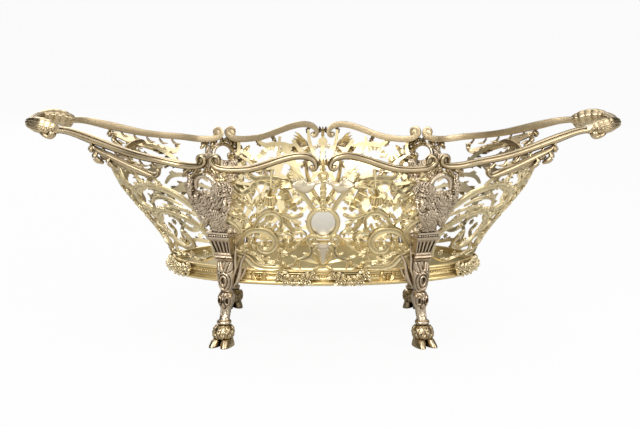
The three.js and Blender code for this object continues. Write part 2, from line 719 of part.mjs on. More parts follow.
const FRONT_OPENWORK = {
  mainScroll: {
    line: [
      [57, 63], [52.5, 70], [47, 77], [40, 79.4], [33, 77],
      [30, 71], [33, 64.6], [38.6, 63.4], [40.6, 68],
    ],
    wide: comma(1.9, 1.1),
    steps: 9,
  },
  lowerSweep: {
    line: [[57, 61], [51, 59.4], [44.6, 53.2], [38, 50.6], [27, 50.8]],
    wide: belly(2.2, 1.4),
    steps: 4,
  },
  innerLeaf: {
    line: [[51, 60], [43.6, 57.6], [37, 55.4], [30, 55]],
    wide: belly(2.2, 0.9),
    steps: 3,
  },
  crest: {
    line: [[42, 80], [40.4, 86.6], [35, 91.8], [29.6, 91.8], [26, 87], [26.8, 79]],
    wide: belly(1.8, 1.2),
    steps: 5,
  },
  festoon: {
    line: [[26.8, 80], [28.8, 71.6], [28.6, 64], [27.4, 57], [26.6, 50.4]],
    wide: constant(1.7),
    steps: 3,
  },
  ribbon: {
    line: [
      [24, 110.6], [29.4, 109], [36.4, 111.4], [42.6, 109.4],
      [42.4, 105.8], [49, 104.2], [54, 107], [62, 106],
    ],
    wide: constant(1.3),
    steps: 7,
  },
  strap: {
    line: [[22, 113], [32, 114.6], [41, 112.8], [47, 118]],
    wide: belly(1.5, 1.2),
    steps: 3,
  },
  jug: {
    line: [[31, 108], [32.6, 101.6], [33.6, 97.4], [32, 91]],
    wide: belly(4, 1.4),
    steps: 2,
  },
  torch: {
    line: [[28, 112], [20, 105], [8, 96.6], [0, 95.4]],
    wide: belly(2.1, 1.3),
    steps: 3,
  },
  quiver: {
    line: [[6, 76], [14, 78.4], [20.6, 83.4], [26.6, 90.8]],
    wide: belly(2.3, 1.2),
    steps: 3,
  },
  garland: {
    line: [[63, 97.6], [53, 97], [46, 96.2], [34, 98]],
    wide: belly(2.4, 1.6),
    steps: 3,
  },
  leafArm: {
    line: [[64, 90], [54, 87.6], [46.6, 82], [41, 79.6]],
    wide: belly(2.9, 1.1),
    steps: 3,
  },
  smallScroll: {
    line: [[28.6, 72], [23.4, 77.4], [18.6, 74.4], [21.4, 70.6]],
    wide: comma(1.3, 1),
    steps: 4,
  },
  footStem: {
    line: [[28, 63], [22.4, 62.6], [17, 66.6], [11, 73.6]],
    wide: belly(1.7, 1),
    steps: 3,
  },
  footCurl: {
    line: [[16, 58], [20.4, 53], [26.6, 51]],
    wide: belly(1.5, 1),
    steps: 2,
  },
  footMiddle: {
    line: [[0, 49.6], [9, 51.4], [26, 50.6]],
    wide: constant(1.2),
    steps: 2,
  },
  husk: {
    line: [[0, 112.6], [0, 94.6]],
    wide: constant(1.3),
    steps: 1,
  },
  rimStem: {
    line: [[31, 119], [31.4, 106]],
    wide: constant(1.3),
    steps: 1,
  },
  wingStem: {
    line: [[10, 124], [8, 112], [0, 101]],
    wide: constant(1.3),
    steps: 2,
  },
};

// Openwork of one end: s runs round the end from its middle
const END_OPENWORK = {
  mainScroll: {
    line: [
      [-66, 56], [-69, 70], [-62, 83], [-49, 87], [-38, 80],
      [-36, 68], [-44, 60.6], [-53, 63.6], [-52, 72],
    ],
    wide: comma(2, 1.2),
    steps: 9,
  },
  footSweep: {
    line: [[-66, 57], [-54, 52], [-40, 54.4], [-28, 51.6], [-14, 55], [0, 50.6]],
    wide: belly(2.2, 1.6),
    steps: 6,
  },
  innerScroll: {
    line: [[-36, 70], [-27, 76], [-17, 73], [-13, 64.6], [-19, 58.8], [-25.4, 62.4]],
    wide: comma(1.8, 1.1),
    steps: 6,
  },
  middleStem: {
    line: [[0, 50], [0, 112]],
    wide: constant(1.7),
    steps: 4,
  },
  middleLeaf: {
    line: [[0, 60], [-7, 67], [-9.4, 76], [0, 86]],
    wide: belly(2.2, 1.1),
    steps: 3,
  },
  topScroll: {
    line: [[-71, 92], [-62, 101.6], [-49, 104.6], [-37, 99.6], [-33, 91], [-40, 86.6]],
    wide: belly(2.2, 1.3),
    steps: 6,
  },
  topLeaf: {
    line: [[-60, 101], [-54, 110], [-46, 116.6], [-38, 119.6]],
    wide: belly(2.5, 1.2),
    steps: 3,
  },
  bridge: {
    line: [[-37, 98], [-26, 104], [-14, 101.6], [-5, 93], [0, 85]],
    wide: belly(2.2, 1.2),
    steps: 4,
  },
  crestStem: {
    line: [[-28, 103], [-24.6, 118.6]],
    wide: belly(2.2, 1.4),
    steps: 2,
  },
  crestLeaf: {
    line: [[-12, 101], [-10, 112.8]],
    wide: belly(2.4, 1.2),
    steps: 1,
  },
  shoulderLeaf: {
    line: [[-72, 84], [-64, 88.6], [-55, 90], [-46, 86]],
    wide: belly(2.4, 1.1),
    steps: 3,
  },
  lowLeaf: {
    line: [[-38, 66], [-31, 60], [-30, 52]],
    wide: belly(2, 1.1),
    steps: 2,
  },
};

function openwork(surface, drawing) {
  const strokes = Object.values(drawing).map(({ line, wide, steps }) => (
    stroke(board, { line: drawn(line), wide, tall: constant(THICK), steps, section: SAWN })
  ));
  const foot = WALL_FOOT + CLEARANCE;
  const past = 10;
  const belowFoot = slab(board, [-BAND_LENGTH, BAND_LENGTH], [foot - past, foot], [-past, past]);
  return bent(surface, cut(bothSides(union(strokes)), belowFoot));
}

// Neighbours as cutters, a clearance larger all round

const grownBand = makeBaseBand(CLEARANCE);
const grownCentreScroll = makeCentreScroll(CLEARANCE);
const grownShoulder = makeShoulderRail(CLEARANCE);
const grownUnderScroll = makeUnderScroll(CLEARANCE);
const grownEndRim = makeEndRim(CLEARANCE);
const grownBoss = makeBoss(CLEARANCE);
const grownFrame = makeMedallionFrame(CLEARANCE);
const grownLegPieces = [makeLeg(CLEARANCE), makeFlutedBlock(CLEARANCE), makeMask(CLEARANCE)];

// All that lies past the middle of the front, where the mirrored dove stands
const otherHalf = slab(front, [-40, CLEARANCE / 2], [RIM_DIP - 24, RIM_DIP], [-10, 10]);

// Pieces made once, for the right front quarter or for one side or end

const leg = cut(makeLeg(), grownBand);
const block = cut(makeFlutedBlock(), grownBand);
const mask = cut(makeMask(), grownCentreScroll, grownShoulder, grownUnderScroll);
const shoulder = cut(makeShoulderRail(), grownCentreScroll);
const underScroll = cut(makeUnderScroll(), grownShoulder);
const endRim = cut(makeEndRim(), ...pairAlong(grownShoulder), ...pairAlong(grownUnderScroll));
const cuff = cut(makeHandleCuff(), grownShoulder, makeHandleBar(CLEARANCE));
const boss = cut(makeBoss(), ...pairAcross(grownCentreScroll));
const dove = cut(makeDove(), grownCentreScroll, grownBoss, otherHalf);
const skull = cut(makeOxSkull(), grownFrame);

const frontGarland = makeSwag(band, SWAG_HALF, SWAG_THICKNESS, FLANGE_PROUD + CLEARANCE);
const frontSwag = cut(bothSides(frontGarland), grownBand);
const endGarland = makeSwag(bandEnd, END_SWAG_HALF, END_SWAG_THICKNESS, CLEARANCE);
const endSwag = cut(bothHalves(endGarland), grownBand, ...pairAlong(grownLegPieces[0]));

const longSide = cut(
  openwork(front, FRONT_OPENWORK),
  ...[grownCentreScroll, grownShoulder, ...grownLegPieces].flatMap(pairAcross),
  grownFrame,
  grownBoss,
);
const endWall = cut(
  openwork(rightEnd, END_OPENWORK),
  ...[grownCentreScroll, grownShoulder, grownUnderScroll, ...grownLegPieces].flatMap(pairAlong),
  grownEndRim,
);

// Finishes
const finish = (color, roughness) => (
  new THREE.MeshStandardMaterial({ color, roughness, metalness: 1 })
);
const WORN_GILT = finish(0xd9c48f, 0.34);
const PANEL_GILT = finish(0xe0c98a, 0.38);
const BAND_GILT = finish(0xd2b06e, 0.36);
const PLATE_GILT = finish(0x9c8a58, 0.32);
const DULLED_SILVER = finish(0xb3a084, 0.46);
const BLANK_SILVER = finish(0xe4dac4, 0.4);

const basket = new THREE.Group();

function place(name, solid, material, side = 1, end = 1) {
  const mesh = new THREE.Mesh(geometryOf(mirrored(solid, side, end)), material);
  mesh.name = name;
  basket.add(mesh);
}

place('base_plate', makeBasePlate(), PLATE_GILT);
place('base_band', makeBaseBand(), BAND_GILT);

const LONG_SIDES = [['front', 1], ['back', -1]];
const ENDS = [['right', 1], ['left', -1]];

for (const [sideName, y] of LONG_SIDES) {
  place(`${sideName}_panel`, longSide, PANEL_GILT, 1, y);
  place(`${sideName}_swag`, frontSwag, WORN_GILT, 1, y);
  place(`${sideName}_boss`, boss, WORN_GILT, 1, y);
  place(`${sideName}_medallion_frame`, makeMedallionFrame(), WORN_GILT, 1, y);
  place(`${sideName}_medallion`, makeMedallion(), BLANK_SILVER, 1, y);
  place(`${sideName}_ox_skull`, skull, DULLED_SILVER, 1, y);
}

for (const [endName, x] of ENDS) {
  place(`${endName}_end_panel`, endWall, PANEL_GILT, x, 1);
  place(`${endName}_end_swag`, endSwag, WORN_GILT, x, 1);
  place(`${endName}_end_rim`, endRim, WORN_GILT, x, 1);
  place(`${endName}_handle_bar`, makeHandleBar(), WORN_GILT, x, 1);
}

for (const [sideName, y] of LONG_SIDES) {
  for (const [endName, x] of ENDS) {
    const corner = `${sideName}_${endName}`;
    place(`${corner}_dove`, dove, DULLED_SILVER, x, y);
    place(`${corner}_rim_scroll`, makeCentreScroll(), WORN_GILT, x, y);
    place(`${corner}_shoulder_rail`, shoulder, WORN_GILT, x, y);
    place(`${corner}_under_scroll`, underScroll, WORN_GILT, x, y);
    place(`${corner}_handle_cuff`, cuff, WORN_GILT, x, y);
    place(`${corner}_mask`, mask, DULLED_SILVER, x, y);
    place(`${corner}_fluted_block`, block, DULLED_SILVER, x, y);
    place(`${corner}_leg`, leg, DULLED_SILVER, x, y);
    place(`${corner}_hoof`, makeHoof(), WORN_GILT, x, y);
  }
}

export default basket;
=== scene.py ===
"""Looks of the silver-gilt basket: cast and chased openwork, moulded rails, masks and hoofed legs."""
import logging
import math
from dataclasses import dataclass
from enum import Enum
from typing import Callable, Iterable, Sequence

import bmesh
import bpy
import numpy as np
from mathutils import Matrix, Vector


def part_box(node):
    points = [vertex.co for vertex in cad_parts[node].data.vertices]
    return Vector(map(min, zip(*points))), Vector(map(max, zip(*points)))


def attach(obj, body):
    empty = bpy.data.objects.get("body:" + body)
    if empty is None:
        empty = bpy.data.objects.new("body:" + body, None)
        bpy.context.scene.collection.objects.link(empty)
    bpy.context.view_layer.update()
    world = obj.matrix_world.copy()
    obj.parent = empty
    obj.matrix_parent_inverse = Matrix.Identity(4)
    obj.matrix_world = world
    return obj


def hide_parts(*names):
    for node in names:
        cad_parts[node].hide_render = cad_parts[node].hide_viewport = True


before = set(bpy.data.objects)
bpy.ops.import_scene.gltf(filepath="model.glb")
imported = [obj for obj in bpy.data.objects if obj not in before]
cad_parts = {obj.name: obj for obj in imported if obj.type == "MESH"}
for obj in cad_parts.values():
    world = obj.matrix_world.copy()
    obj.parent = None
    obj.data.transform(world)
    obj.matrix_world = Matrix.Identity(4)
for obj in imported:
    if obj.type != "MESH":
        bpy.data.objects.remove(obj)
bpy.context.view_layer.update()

LOG = logging.getLogger("basket")
MM = 0.001
Law = Callable[[np.ndarray], np.ndarray]
Bend = Callable[[np.ndarray], np.ndarray]
Line = Sequence[Sequence[float]]
Rows = tuple[tuple[float, ...], ...]


class Slot(Enum):
    """Finishes, each named by its material slot in the record and any word that tells it apart."""

    WORN = "worn_gilt"
    # The end panels' finish: the panel gilt darkened with painted shade for the end walls.
    END = "panel_gilt, painted_shade"
    PANEL = "panel_gilt"
    BAND = "band_gilt"
    PLATE = "plate_gilt"
    DULLED = "dulled_silver"
    BLANK = "blank_silver"


class Corner(Enum):
    """The basket's corners, each with what turns the front right one into it along X and Y."""

    FRONT_RIGHT = (1, 1)
    FRONT_LEFT = (-1, 1)
    BACK_RIGHT = (1, -1)
    BACK_LEFT = (-1, -1)


# Laws of width and height along a stroke, over t from 0 to 1


def even(value: float) -> Law:
    """A law that keeps one value."""
    return lambda t: np.full_like(t, value)


def fading(start: float, end: float) -> Law:
    """A law that runs straight from one value to another."""
    return lambda t: start + (end - start) * t


def belly(most: float, ends: float, power: float = 0.8) -> Law:
    """A law that is fullest in the middle of the stroke."""
    return lambda t: ends + (most - ends) * np.sin(np.pi * t) ** power


def comma(start: float, end: float) -> Law:
    """A law that thins quickly from its start, as a comma does."""
    return lambda t: end + (start - end) * (1 - t) ** 1.4


def rounded(size: float, ends: float = 0.1, least: float = 0.5) -> Law:
    """A law that rounds both ends of an even stroke.

    Args:
        size: The size along the stroke.
        ends: The part of the length over which an end is rounded.
        least: The share of the size that is left at the very ends.

    Returns:
        The law.
    """

    def law(t: np.ndarray) -> np.ndarray:
        """Size at t.

        Args:
            t: Places along the stroke, from 0 to 1.

        Returns:
            The sizes.
        """
        near, far = np.clip(t / ends, 0, 1), np.clip((1 - t) / ends, 0, 1)
        arch = np.sqrt(1 - (1 - near) ** 2) * np.sqrt(1 - (1 - far) ** 2)
        return size * (least + (1 - least) * arch)

    return law


def taper(size: float, share: float, start: float, end: float) -> Law:
    """A law that narrows to a share of its size over the given parts at its ends."""
    return lambda t: size * np.minimum(1, share + (1 - share) * np.minimum(t / start, (1 - t) / end))


def waving(height: float, waves: int) -> Law:
    """A law that rises from nothing and falls back in even waves."""
    return lambda t: height * np.sin(waves * np.pi * t) ** 2


def at(*place: float) -> np.ndarray:
    """A place or a step, in millimetres."""
    return np.array(place, float)


def unit(rows: np.ndarray) -> np.ndarray:
    """Rows of vectors, each of length one."""
    return rows / np.maximum(np.linalg.norm(rows, axis=-1, keepdims=True), 1e-9)


def ways(path: np.ndarray) -> np.ndarray:
    """Directions along a path, one a point."""
    return unit(np.gradient(path, axis=0))


def left_of(flat_ways: np.ndarray) -> np.ndarray:
    """Directions to the left of drawn directions, one a row."""
    return np.column_stack([-flat_ways[:, 1], flat_ways[:, 0]])


def run_of(path: np.ndarray) -> np.ndarray:
    """Length of a path up to each of its points."""
    return np.concatenate([[0], np.cumsum(np.linalg.norm(np.diff(path, axis=0), axis=1))])


def smooth_line(points: Line, count: int) -> np.ndarray:
    """Samples a smooth curve through points, evenly along its length.

    Args:
        points: Points that the curve passes, in any number of dimensions.
        count: The number of samples.

    Returns:
        The samples, one a row.
    """

    def between(p: np.ndarray, q: np.ndarray, low: float, high: float) -> np.ndarray:
        """The place at s on a straight way from p at low to q at high."""
        return (high - s) / (high - low) * p + (s - low) / (high - low) * q

    own = np.asarray(points, float)
    padded = np.vstack([2 * own[0] - own[1], own, 2 * own[-1] - own[-2]])
    pieces = []
    for i in range(len(own) - 1):
        p = padded[i : i + 4]
        t1, t2, t3 = np.cumsum([max(np.linalg.norm(p[k + 1] - p[k]), 1e-6) ** 0.5 for k in range(3)])
        s = np.linspace(t1, t2, 14, endpoint=False)[:, None]
        a1, a2, a3 = between(p[0], p[1], 0, t1), between(p[1], p[2], t1, t2), between(p[2], p[3], t2, t3)
        pieces.append(between(between(a1, a2, 0, t2), between(a2, a3, t1, t3), t1, t2))
    fine = np.vstack(pieces + [own[-1:]])
    run = run_of(fine)
    wanted = np.linspace(0, run[-1], count)
    return np.column_stack([np.interp(wanted, run, column) for column in fine.T])


@dataclass(frozen=True)
class Wall:
    """The basket's wall: oval rings that lean out in an S from the base band, in millimetres.

    Angles run round the basket, 0 at the front middle and a quarter turn at the right end.
    """

    half_length: float = 101.0
    half_width: float = 51.0
    underside: float = 39.3
    foot: float = 49.3
    rise: float = 64.0
    lean_ends: float = 39.0
    lean_sides: float = 33.0
    end_unroll: float = 79.0

    def axes(self, z: np.ndarray) -> tuple[np.ndarray, np.ndarray]:
        """Half length and half width of the oval at a height.

        Args:
            z: Heights.

        Returns:
            The half lengths and the half widths.
        """
        t = (z - self.foot) / self.rise
        s = np.clip(t, 0, 1)
        share = 0.75 * s * s * (3 - 2 * s) + 0.25 * np.maximum(t, 0)
        return self.half_length + self.lean_ends * share, self.half_width + self.lean_sides * share

    def normal(self, phi: np.ndarray, z: np.ndarray) -> np.ndarray:
        """Directions that face out of the wall.

        Args:
            phi: Angles.
            z: Heights.

        Returns:
            One direction a row.
        """
        a, b = self.axes(z)
        (a_up, b_up), (a_low, b_low) = self.axes(z + 0.5), self.axes(z - 0.5)
        around = np.stack([a * np.cos(phi), b * np.sin(phi), 0 * z], -1)
        upward = np.stack([(a_up - a_low) * np.sin(phi), -(b_up - b_low) * np.cos(phi), 1 + 0 * z], -1)
        return unit(np.cross(around, upward))

    def point(self, phi: np.ndarray, z: np.ndarray, lift: np.ndarray) -> np.ndarray:
        """Points on or above the wall.

        Args:
            phi: Angles.
            z: Heights.
            lift: Distances out of the wall.

        Returns:
            One point a row.
        """
        a, b = self.axes(z)
        base = np.stack([a * np.sin(phi), -b * np.cos(phi), z], -1)
        return base + self.normal(phi, z) * lift[..., None]

    def upright(self, phi: np.ndarray, z: np.ndarray, lift: np.ndarray) -> np.ndarray:
        """Points beside the upright oval of the base band.

        Args:
            phi: Angles.
            z: Heights.
            lift: Distances out of the oval.

        Returns:
            One point a row.
        """
        out = unit(np.stack([self.half_width * np.sin(phi), -self.half_length * np.cos(phi), 0 * z], -1))
        base = np.stack([self.half_length * np.sin(phi), -self.half_width * np.cos(phi), z], -1)
        return base + out * lift[..., None]

    def front_outs(self, line: np.ndarray) -> np.ndarray:
        """Directions out of the front at points of [x, z]."""
        return self.normal(np.arcsin(line[:, 0] / self.axes(line[:, 1])[0]), line[:, 1])

    def front(self, flat: np.ndarray) -> np.ndarray:
        """Bends a drawing of [x, z, lift] onto the front."""
        x, z, lift = flat.T
        return self.point(np.arcsin(np.clip(x / self.axes(z)[0], -1, 1)), z, lift)

    def end(self, flat: np.ndarray) -> np.ndarray:
        """Bends a drawing of [s, z, lift] onto the right end, s running round it from its middle."""
        s, z, lift = flat.T
        return self.point(np.pi / 2 + s / self.end_unroll, z, lift)

    def band(self, flat: np.ndarray) -> np.ndarray:
        """Bends a drawing of [x, z, lift] onto the front of the base band."""
        x, z, lift = flat.T
        return self.upright(np.arcsin(np.clip(x / self.half_length, -1, 1)), z, lift)

    def band_end(self, flat: np.ndarray) -> np.ndarray:
        """Bends a drawing of [s, z, lift] onto the right end of the base band."""
        s, z, lift = flat.T
        return self.upright(np.pi / 2 + s / self.end_unroll, z, lift)


WALL = Wall()

# Sections of bars: rows of [across, out], as shares of half the width and of the height


def mirrored(*half: tuple[float, float]) -> np.ndarray:
    """A section from its left half, whose last row is its middle."""
    return np.array(half + tuple((-across, out) for across, out in half[-2::-1]), float)


def fluted_round(sides: int, depth: float, flutes: int) -> np.ndarray:
    """A round section of some sides, with flutes of a depth."""
    turns = [2 * math.pi * i / sides for i in range(sides)]
    return np.array([(1 + depth * math.cos(flutes * a)) * np.array([math.cos(a), math.sin(a)]) for a in turns])


REEDED = mirrored((-1, 0), (-1, 0.55), (-0.86, 0.92), (-0.66, 1), (-0.46, 0.93), (-0.3, 0.8), (0, 0.76))
HALF_ROUND = mirrored((-1, 0), (-0.96, 0.4), (-0.7, 0.78), (-0.35, 0.96), (0, 1))
RIDGED = mirrored((-1, 0), (-1, 0.3), (-0.6, 0.52), (-0.2, 0.8), (0, 1))
STRAP = np.array([(-1, 0), (-1, 0.7), (-0.86, 1), (-0.66, 1), (-0.56, 0.8), (0.56, 0.8), (0.66, 1), (0.86, 1),
                  (1, 0.7), (1, 0)])
FLUTED = np.array([
    (-1, 0), *((x / 10, math.sqrt(1 - x * x / 100) * (0.88 + 0.12 * math.cos(0.5 * math.pi * x)))
               for x in range(-9, 10)), (1, 0),
])
RAIL = np.array([
    (-1, -0.6), (-1.0, 0.1), (-0.92, 0.42), (-0.78, 0.5), (-0.68, 0.42), (-0.62, 0.14), (-0.54, 0.46),
    (-0.36, 0.86), (-0.06, 1.0), (0.24, 0.97), (0.52, 0.8), (0.7, 0.54), (0.79, 0.14), (0.88, 0.34),
    (0.97, 0.2), (1, -0.1), (1, -0.6), (0.9, -0.88), (0, -0.95), (-0.9, -0.88),
])
ROUND, CUFF, ROLL = fluted_round(10, 0, 1), fluted_round(35, 0.07, 7), fluted_round(84, 0.045, 14)


class Cast:
    """Gathers the closed shells of one casting."""

    def __init__(self) -> None:
        """Starts empty."""
        self.points: list[np.ndarray] = []
        self.faces: list[tuple[int, ...]] = []
        self.count = 0

    def add(self, points: np.ndarray, faces: Iterable[Sequence[int]]) -> None:
        """Adds a shell.

        Args:
            points: Its points, one a row.
            faces: Its faces, as indices into its points.
        """
        start = self.count
        self.points.append(points)
        self.faces.extend(tuple(start + i for i in face) for face in faces)
        self.count += len(points)

    def take(self, other: "Cast", bend: Bend) -> None:
        """Adds all shells of another cast."""
        self.add(bend(other.array()), other.faces)

    def array(self) -> np.ndarray:
        """All points, one a row."""
        return np.vstack(self.points)

    def piece(self, name: str, degrees: float = 40.0) -> bpy.types.Object:
        """Makes the casting as a piece."""
        return smoothed(new_object(name, self.array(), self.faces), degrees)

    def tube(self, rings: np.ndarray, closed: bool = False) -> None:
        """Adds a tube through rings of points.

        Args:
            rings: Points by ring, place in the ring, and axis.
            closed: Whether the last ring joins the first.
        """
        count, around = rings.shape[:2]
        faces: list[tuple[int, ...]] = []
        for i in range(count if closed else count - 1):
            here, after = i * around, ((i + 1) % count) * around
            for j in range(around):
                k = (j + 1) % around
                faces.append((here + j, here + k, after + k, after + j))
        if not closed:
            last = (count - 1) * around
            faces.append(tuple(range(around - 1, -1, -1)))
            faces.append(tuple(range(last, last + around)))
        self.add(rings.reshape(-1, 3), faces)

    def sweep(
        self, path: np.ndarray, outs: np.ndarray, wide: np.ndarray, tall: np.ndarray, section: np.ndarray
    ) -> None:
        """Adds a bar along a path in space.

        Args:
            path: Middle points, one a row.
            outs: Directions that the bar's face looks to.
            wide: Half widths.
            tall: Heights.
            section: The bar's section.
        """
        along = ways(path)
        across = unit(np.cross(along, outs))
        out = unit(np.cross(across, along))
        aside = across[:, None] * (wide[:, None] * section[None, :, 0])[..., None]
        self.tube(path[:, None] + aside + out[:, None] * (tall[:, None] * section[None, :, 1])[..., None])

    def ball(
        self, centre: Sequence[float], radii: float | Sequence[float], rows: int = 8, columns: int = 12
    ) -> None:
        """Adds an ellipsoid.

        Args:
            centre: Its centre.
            radii: Its half sizes along the three axes, or one for all.
            rows: Rings from pole to pole.
            columns: Points in a ring.
        """
        theta = np.linspace(0, np.pi, rows + 1)[1:-1, None]
        phi = np.linspace(0, 2 * np.pi, columns, endpoint=False)
        rings = [np.sin(theta) * np.cos(phi), np.sin(theta) * np.sin(phi), np.cos(theta) + 0 * phi]
        self.tube(np.stack(rings, -1) * np.asarray(radii) + np.asarray(centre))

    def limb(self, line: Line, radii: Sequence[float], steps: int = 16, flat: float = 1.0) -> None:
        """Adds a round tube of changing radius along a smooth line.

        Args:
            line: Points that it passes.
            radii: Radii at evenly spaced places along it.
            steps: The number of rings.
            flat: Height of the section as a share of its width.
        """
        path = smooth_line(line, steps)
        size = np.interp(np.linspace(0, 1, steps), np.linspace(0, 1, len(radii)), radii)
        along = ways(path)
        helper = np.where(np.abs(along[:, 2:3]) > 0.9, [[1.0, 0, 0]], [[0, 0, 1.0]])
        self.sweep(path, unit(np.cross(np.cross(along, helper), along)), size, size * flat, ROUND)


class Relief(Cast):
    """A casting drawn flat, in millimetres along the wall, up it and out of it."""

    def stroke(
        self, line: Line, wide: Law, tall: Law, section: np.ndarray = HALF_ROUND, lift: float = 0.0,
        rise: Law = even(0.0), density: float = 1.1,
    ) -> None:
        """Adds a tapering bar along a drawn line.

        Args:
            line: Points of [along, up].
            wide: Law of its half width.
            tall: Law of its height.
            section: Its section.
            lift: Height of its back above the wall.
            rise: Law of a further lift along the line.
            density: Rings a millimetre.
        """
        count = max(8, int(run_of(np.asarray(line, float))[-1] * density))
        path = smooth_line(line, count)
        t = np.linspace(0, 1, count)
        aside = left_of(ways(path))[:, None] * (wide(t)[:, None] * section[None, :, 0])[..., None]
        lifts = (lift + rise(t))[:, None] + tall(t)[:, None] * section[None, :, 1]
        self.tube(np.concatenate([path[:, None] + aside, lifts[..., None]], -1))

    def strokes(self, tall: Law, lift: float, *rows: tuple[Line, Law, np.ndarray]) -> None:
        """Adds several bars of one height."""
        for line, wide, section in rows:
            self.stroke(line, wide, tall, section, lift)

    def leaf(
        self, base: Sequence[float], tip: Sequence[float], width: float, bend: float = 0.0, lobes: int = 3,
        lift: float = 0.6, tall: float = 1.3, curl: float = 0.9,
    ) -> None:
        """Adds a lobed leaf with a grooved midrib and a tip that curls off the wall.

        Args:
            base: Where it starts, [along, up].
            tip: Where it ends.
            width: Its width.
            bend: Bulge of its midrib to the left, as a share of its length.
            lobes: Lobes on each side.
            lift: Height of its back above the wall.
            tall: Height of its fullest part.
            curl: Further lift of the tip.
        """
        t = np.linspace(0, 1, 6 * max(lobes, 2) + 1)[:, None]
        v = np.linspace(-1, 1, 7)
        side = np.abs(v)
        start, reach = at(*base), at(*tip) - at(*base)
        length = np.linalg.norm(reach)
        middle = start + reach * t + at(-reach[1], reach[0]) * (bend * 4 * t * (1 - t))
        along = ways(middle)
        outline = np.sin(np.pi * np.clip(0.06 + 0.94 * t, 0, 1) ** 0.8) ** 0.85 + 0.04
        notch = 0.42 * np.abs(np.cos(np.pi * lobes * t)) ** 2.2 * (t < 0.97)
        half = width / 2 * outline * (1 - notch * side**2) * v
        forward = 0.22 * width * side**1.6 * outline * np.minimum(1, length / width / 2)
        place = middle[:, None] + left_of(along)[:, None] * half[..., None] + along[:, None] * forward[..., None]
        crown = 1 - 0.7 * v**2 - 0.45 * np.exp(-((v / 0.2) ** 2))
        vein = 0.16 * np.sin(2 * np.pi * lobes * t - 3.0 * side) * side
        top = lift + tall * (0.25 + 0.75 * outline) * (crown + vein) + curl * tall * t**2
        back = np.maximum(top - 0.55, lift * 0.5)
        front_rows = np.concatenate([place, top[..., None]], -1)
        back_rows = np.concatenate([place[:, ::-1], back[:, ::-1, None]], -1)
        self.tube(np.concatenate([front_rows, back_rows], 1))

    def leaves(self, rows: Iterable[tuple], *look: float, bend: float | None = None) -> None:
        """Adds several leaves with one look."""
        for base, tip, width, *own in rows:
            self.leaf(base, tip, width, own[0] if own else bend, *look)

    def flower(
        self, centre: Sequence[float], radius: float, petals: int = 5, lift: float = 1.0, tall: float = 1.2,
        turn: float = 0.0,
    ) -> None:
        """Adds an open flower with a round heart.

        Args:
            centre: Its middle, [along, up].
            radius: Its radius.
            petals: The number of petals.
            lift: Height of its back.
            tall: Its height.
            turn: Turn of the petals in radians.
        """
        angle = np.linspace(0, 2 * np.pi, petals * 4, endpoint=False)
        petal = 0.5 + 0.5 * np.cos(petals * (angle + turn))
        rings = []
        for share, height in (
            (1.0, 0.0), (1.0, 0.45), (0.86, 0.85), (0.6, 0.8), (0.38, 0.36), (0.3, 0.5), (0.2, 0.95), (0.05, 1.1),
        ):
            fringe = share > 0.45
            reach = radius * share * ((0.7 + 0.3 * petal) if fringe else 1.0)
            level = lift + tall * height * ((0.55 + 0.45 * petal) if fringe else 1.0)
            rings.append(np.column_stack([
                centre[0] + reach * np.cos(angle), centre[1] + reach * np.sin(angle), level + 0 * angle,
            ]))
        self.tube(np.array(rings))

    def festoon(self, line: Line, count: int, radius: float, lift: float) -> None:
        """Adds a string of flowers and small leaves along a line.

        Args:
            line: Points of [along, up].
            count: The number of flowers.
            radius: Radius of the fullest flower.
            lift: Height of their backs.
        """
        path = smooth_line(line, count)
        along = ways(path)
        for i, (place, way, across) in enumerate(zip(path, along, left_of(along))):
            side = 1 if i % 2 else -1
            size = radius * (0.78 + 0.22 * math.sin(2.3 * i + 0.6))
            tip = place + way * radius * 0.7 + across * side * radius * 1.9
            self.leaf(place, tip, radius * 1.1, 0.12 * side, 2, lift - 0.5, 0.8, 0.5)
            self.flower(place + across * side * radius * 0.25, size, 5, lift, radius * 0.75, 0.9 * i)

    def frond(self, line: Line, count: int, size: float, lift: float, sides: Sequence[int] = (-1, 1)) -> None:
        """Adds a stem with leaves along it that grow towards its tip.

        Args:
            line: Points of the stem.
            count: Places along it, of which all but the first carry leaves.
            size: Length of the longest leaf.
            lift: Height of their backs.
            sides: The sides that carry leaves, left 1 and right -1.
        """
        self.stroke(line, comma(0.75, 0.4), comma(1.6, 1.2), RIDGED)
        path = smooth_line(line, count)
        along = ways(path)
        aside = left_of(along)
        for i in range(1, count):
            grow = size * (0.62 + 0.38 * math.sin(math.pi * i / count))
            if i == count - 1:
                self.leaf(path[i], path[i] + along[i] * grow, grow * 0.62, 0, 3, lift)
                continue
            for side in sides:
                tip = path[i] + (along[i] * 0.72 + aside[i] * side * 0.62) * grow
                self.leaf(path[i], tip, grow * 0.48, -0.14 * side, 3, lift)

    def both_ways(self) -> "Relief":
        """The drawing of the right half with its mirror image.

        Returns:
            A drawing of both halves.
        """
        both = Relief()
        both.add(self.array(), self.faces)
        both.add(self.array() * at(-1, 1, 1), [face[::-1] for face in self.faces])
        return both

    def whole(self, name: str, bend: Bend, least: float) -> bpy.types.Object:
        """Makes the drawing and its mirror image as one piece.

        Args:
            name: Its name.
            bend: What bends it onto the basket.
            least: The height that nothing of it goes under.

        Returns:
            The piece.
        """
        both = self.both_ways()
        points = both.array()
        points[:, 1] = np.maximum(points[:, 1], least)
        return smoothed(new_object(name, bend(points), both.faces))


# Meshes


def select_only(piece: bpy.types.Object) -> None:
    """Makes a piece the only selected and active one.

    Args:
        piece: The piece.
    """
    bpy.ops.object.select_all(action="DESELECT")
    piece.select_set(True)
    bpy.context.view_layer.objects.active = piece


def in_scene(name: str, data: bpy.types.ID) -> bpy.types.Object:
    """Makes an object of some data, in the scene.

    Args:
        name: Name of the object.
        data: What it holds, such as a mesh or a light.

    Returns:
        The object.
    """
    made = bpy.data.objects.new(name, data)
    bpy.context.scene.collection.objects.link(made)
    return made


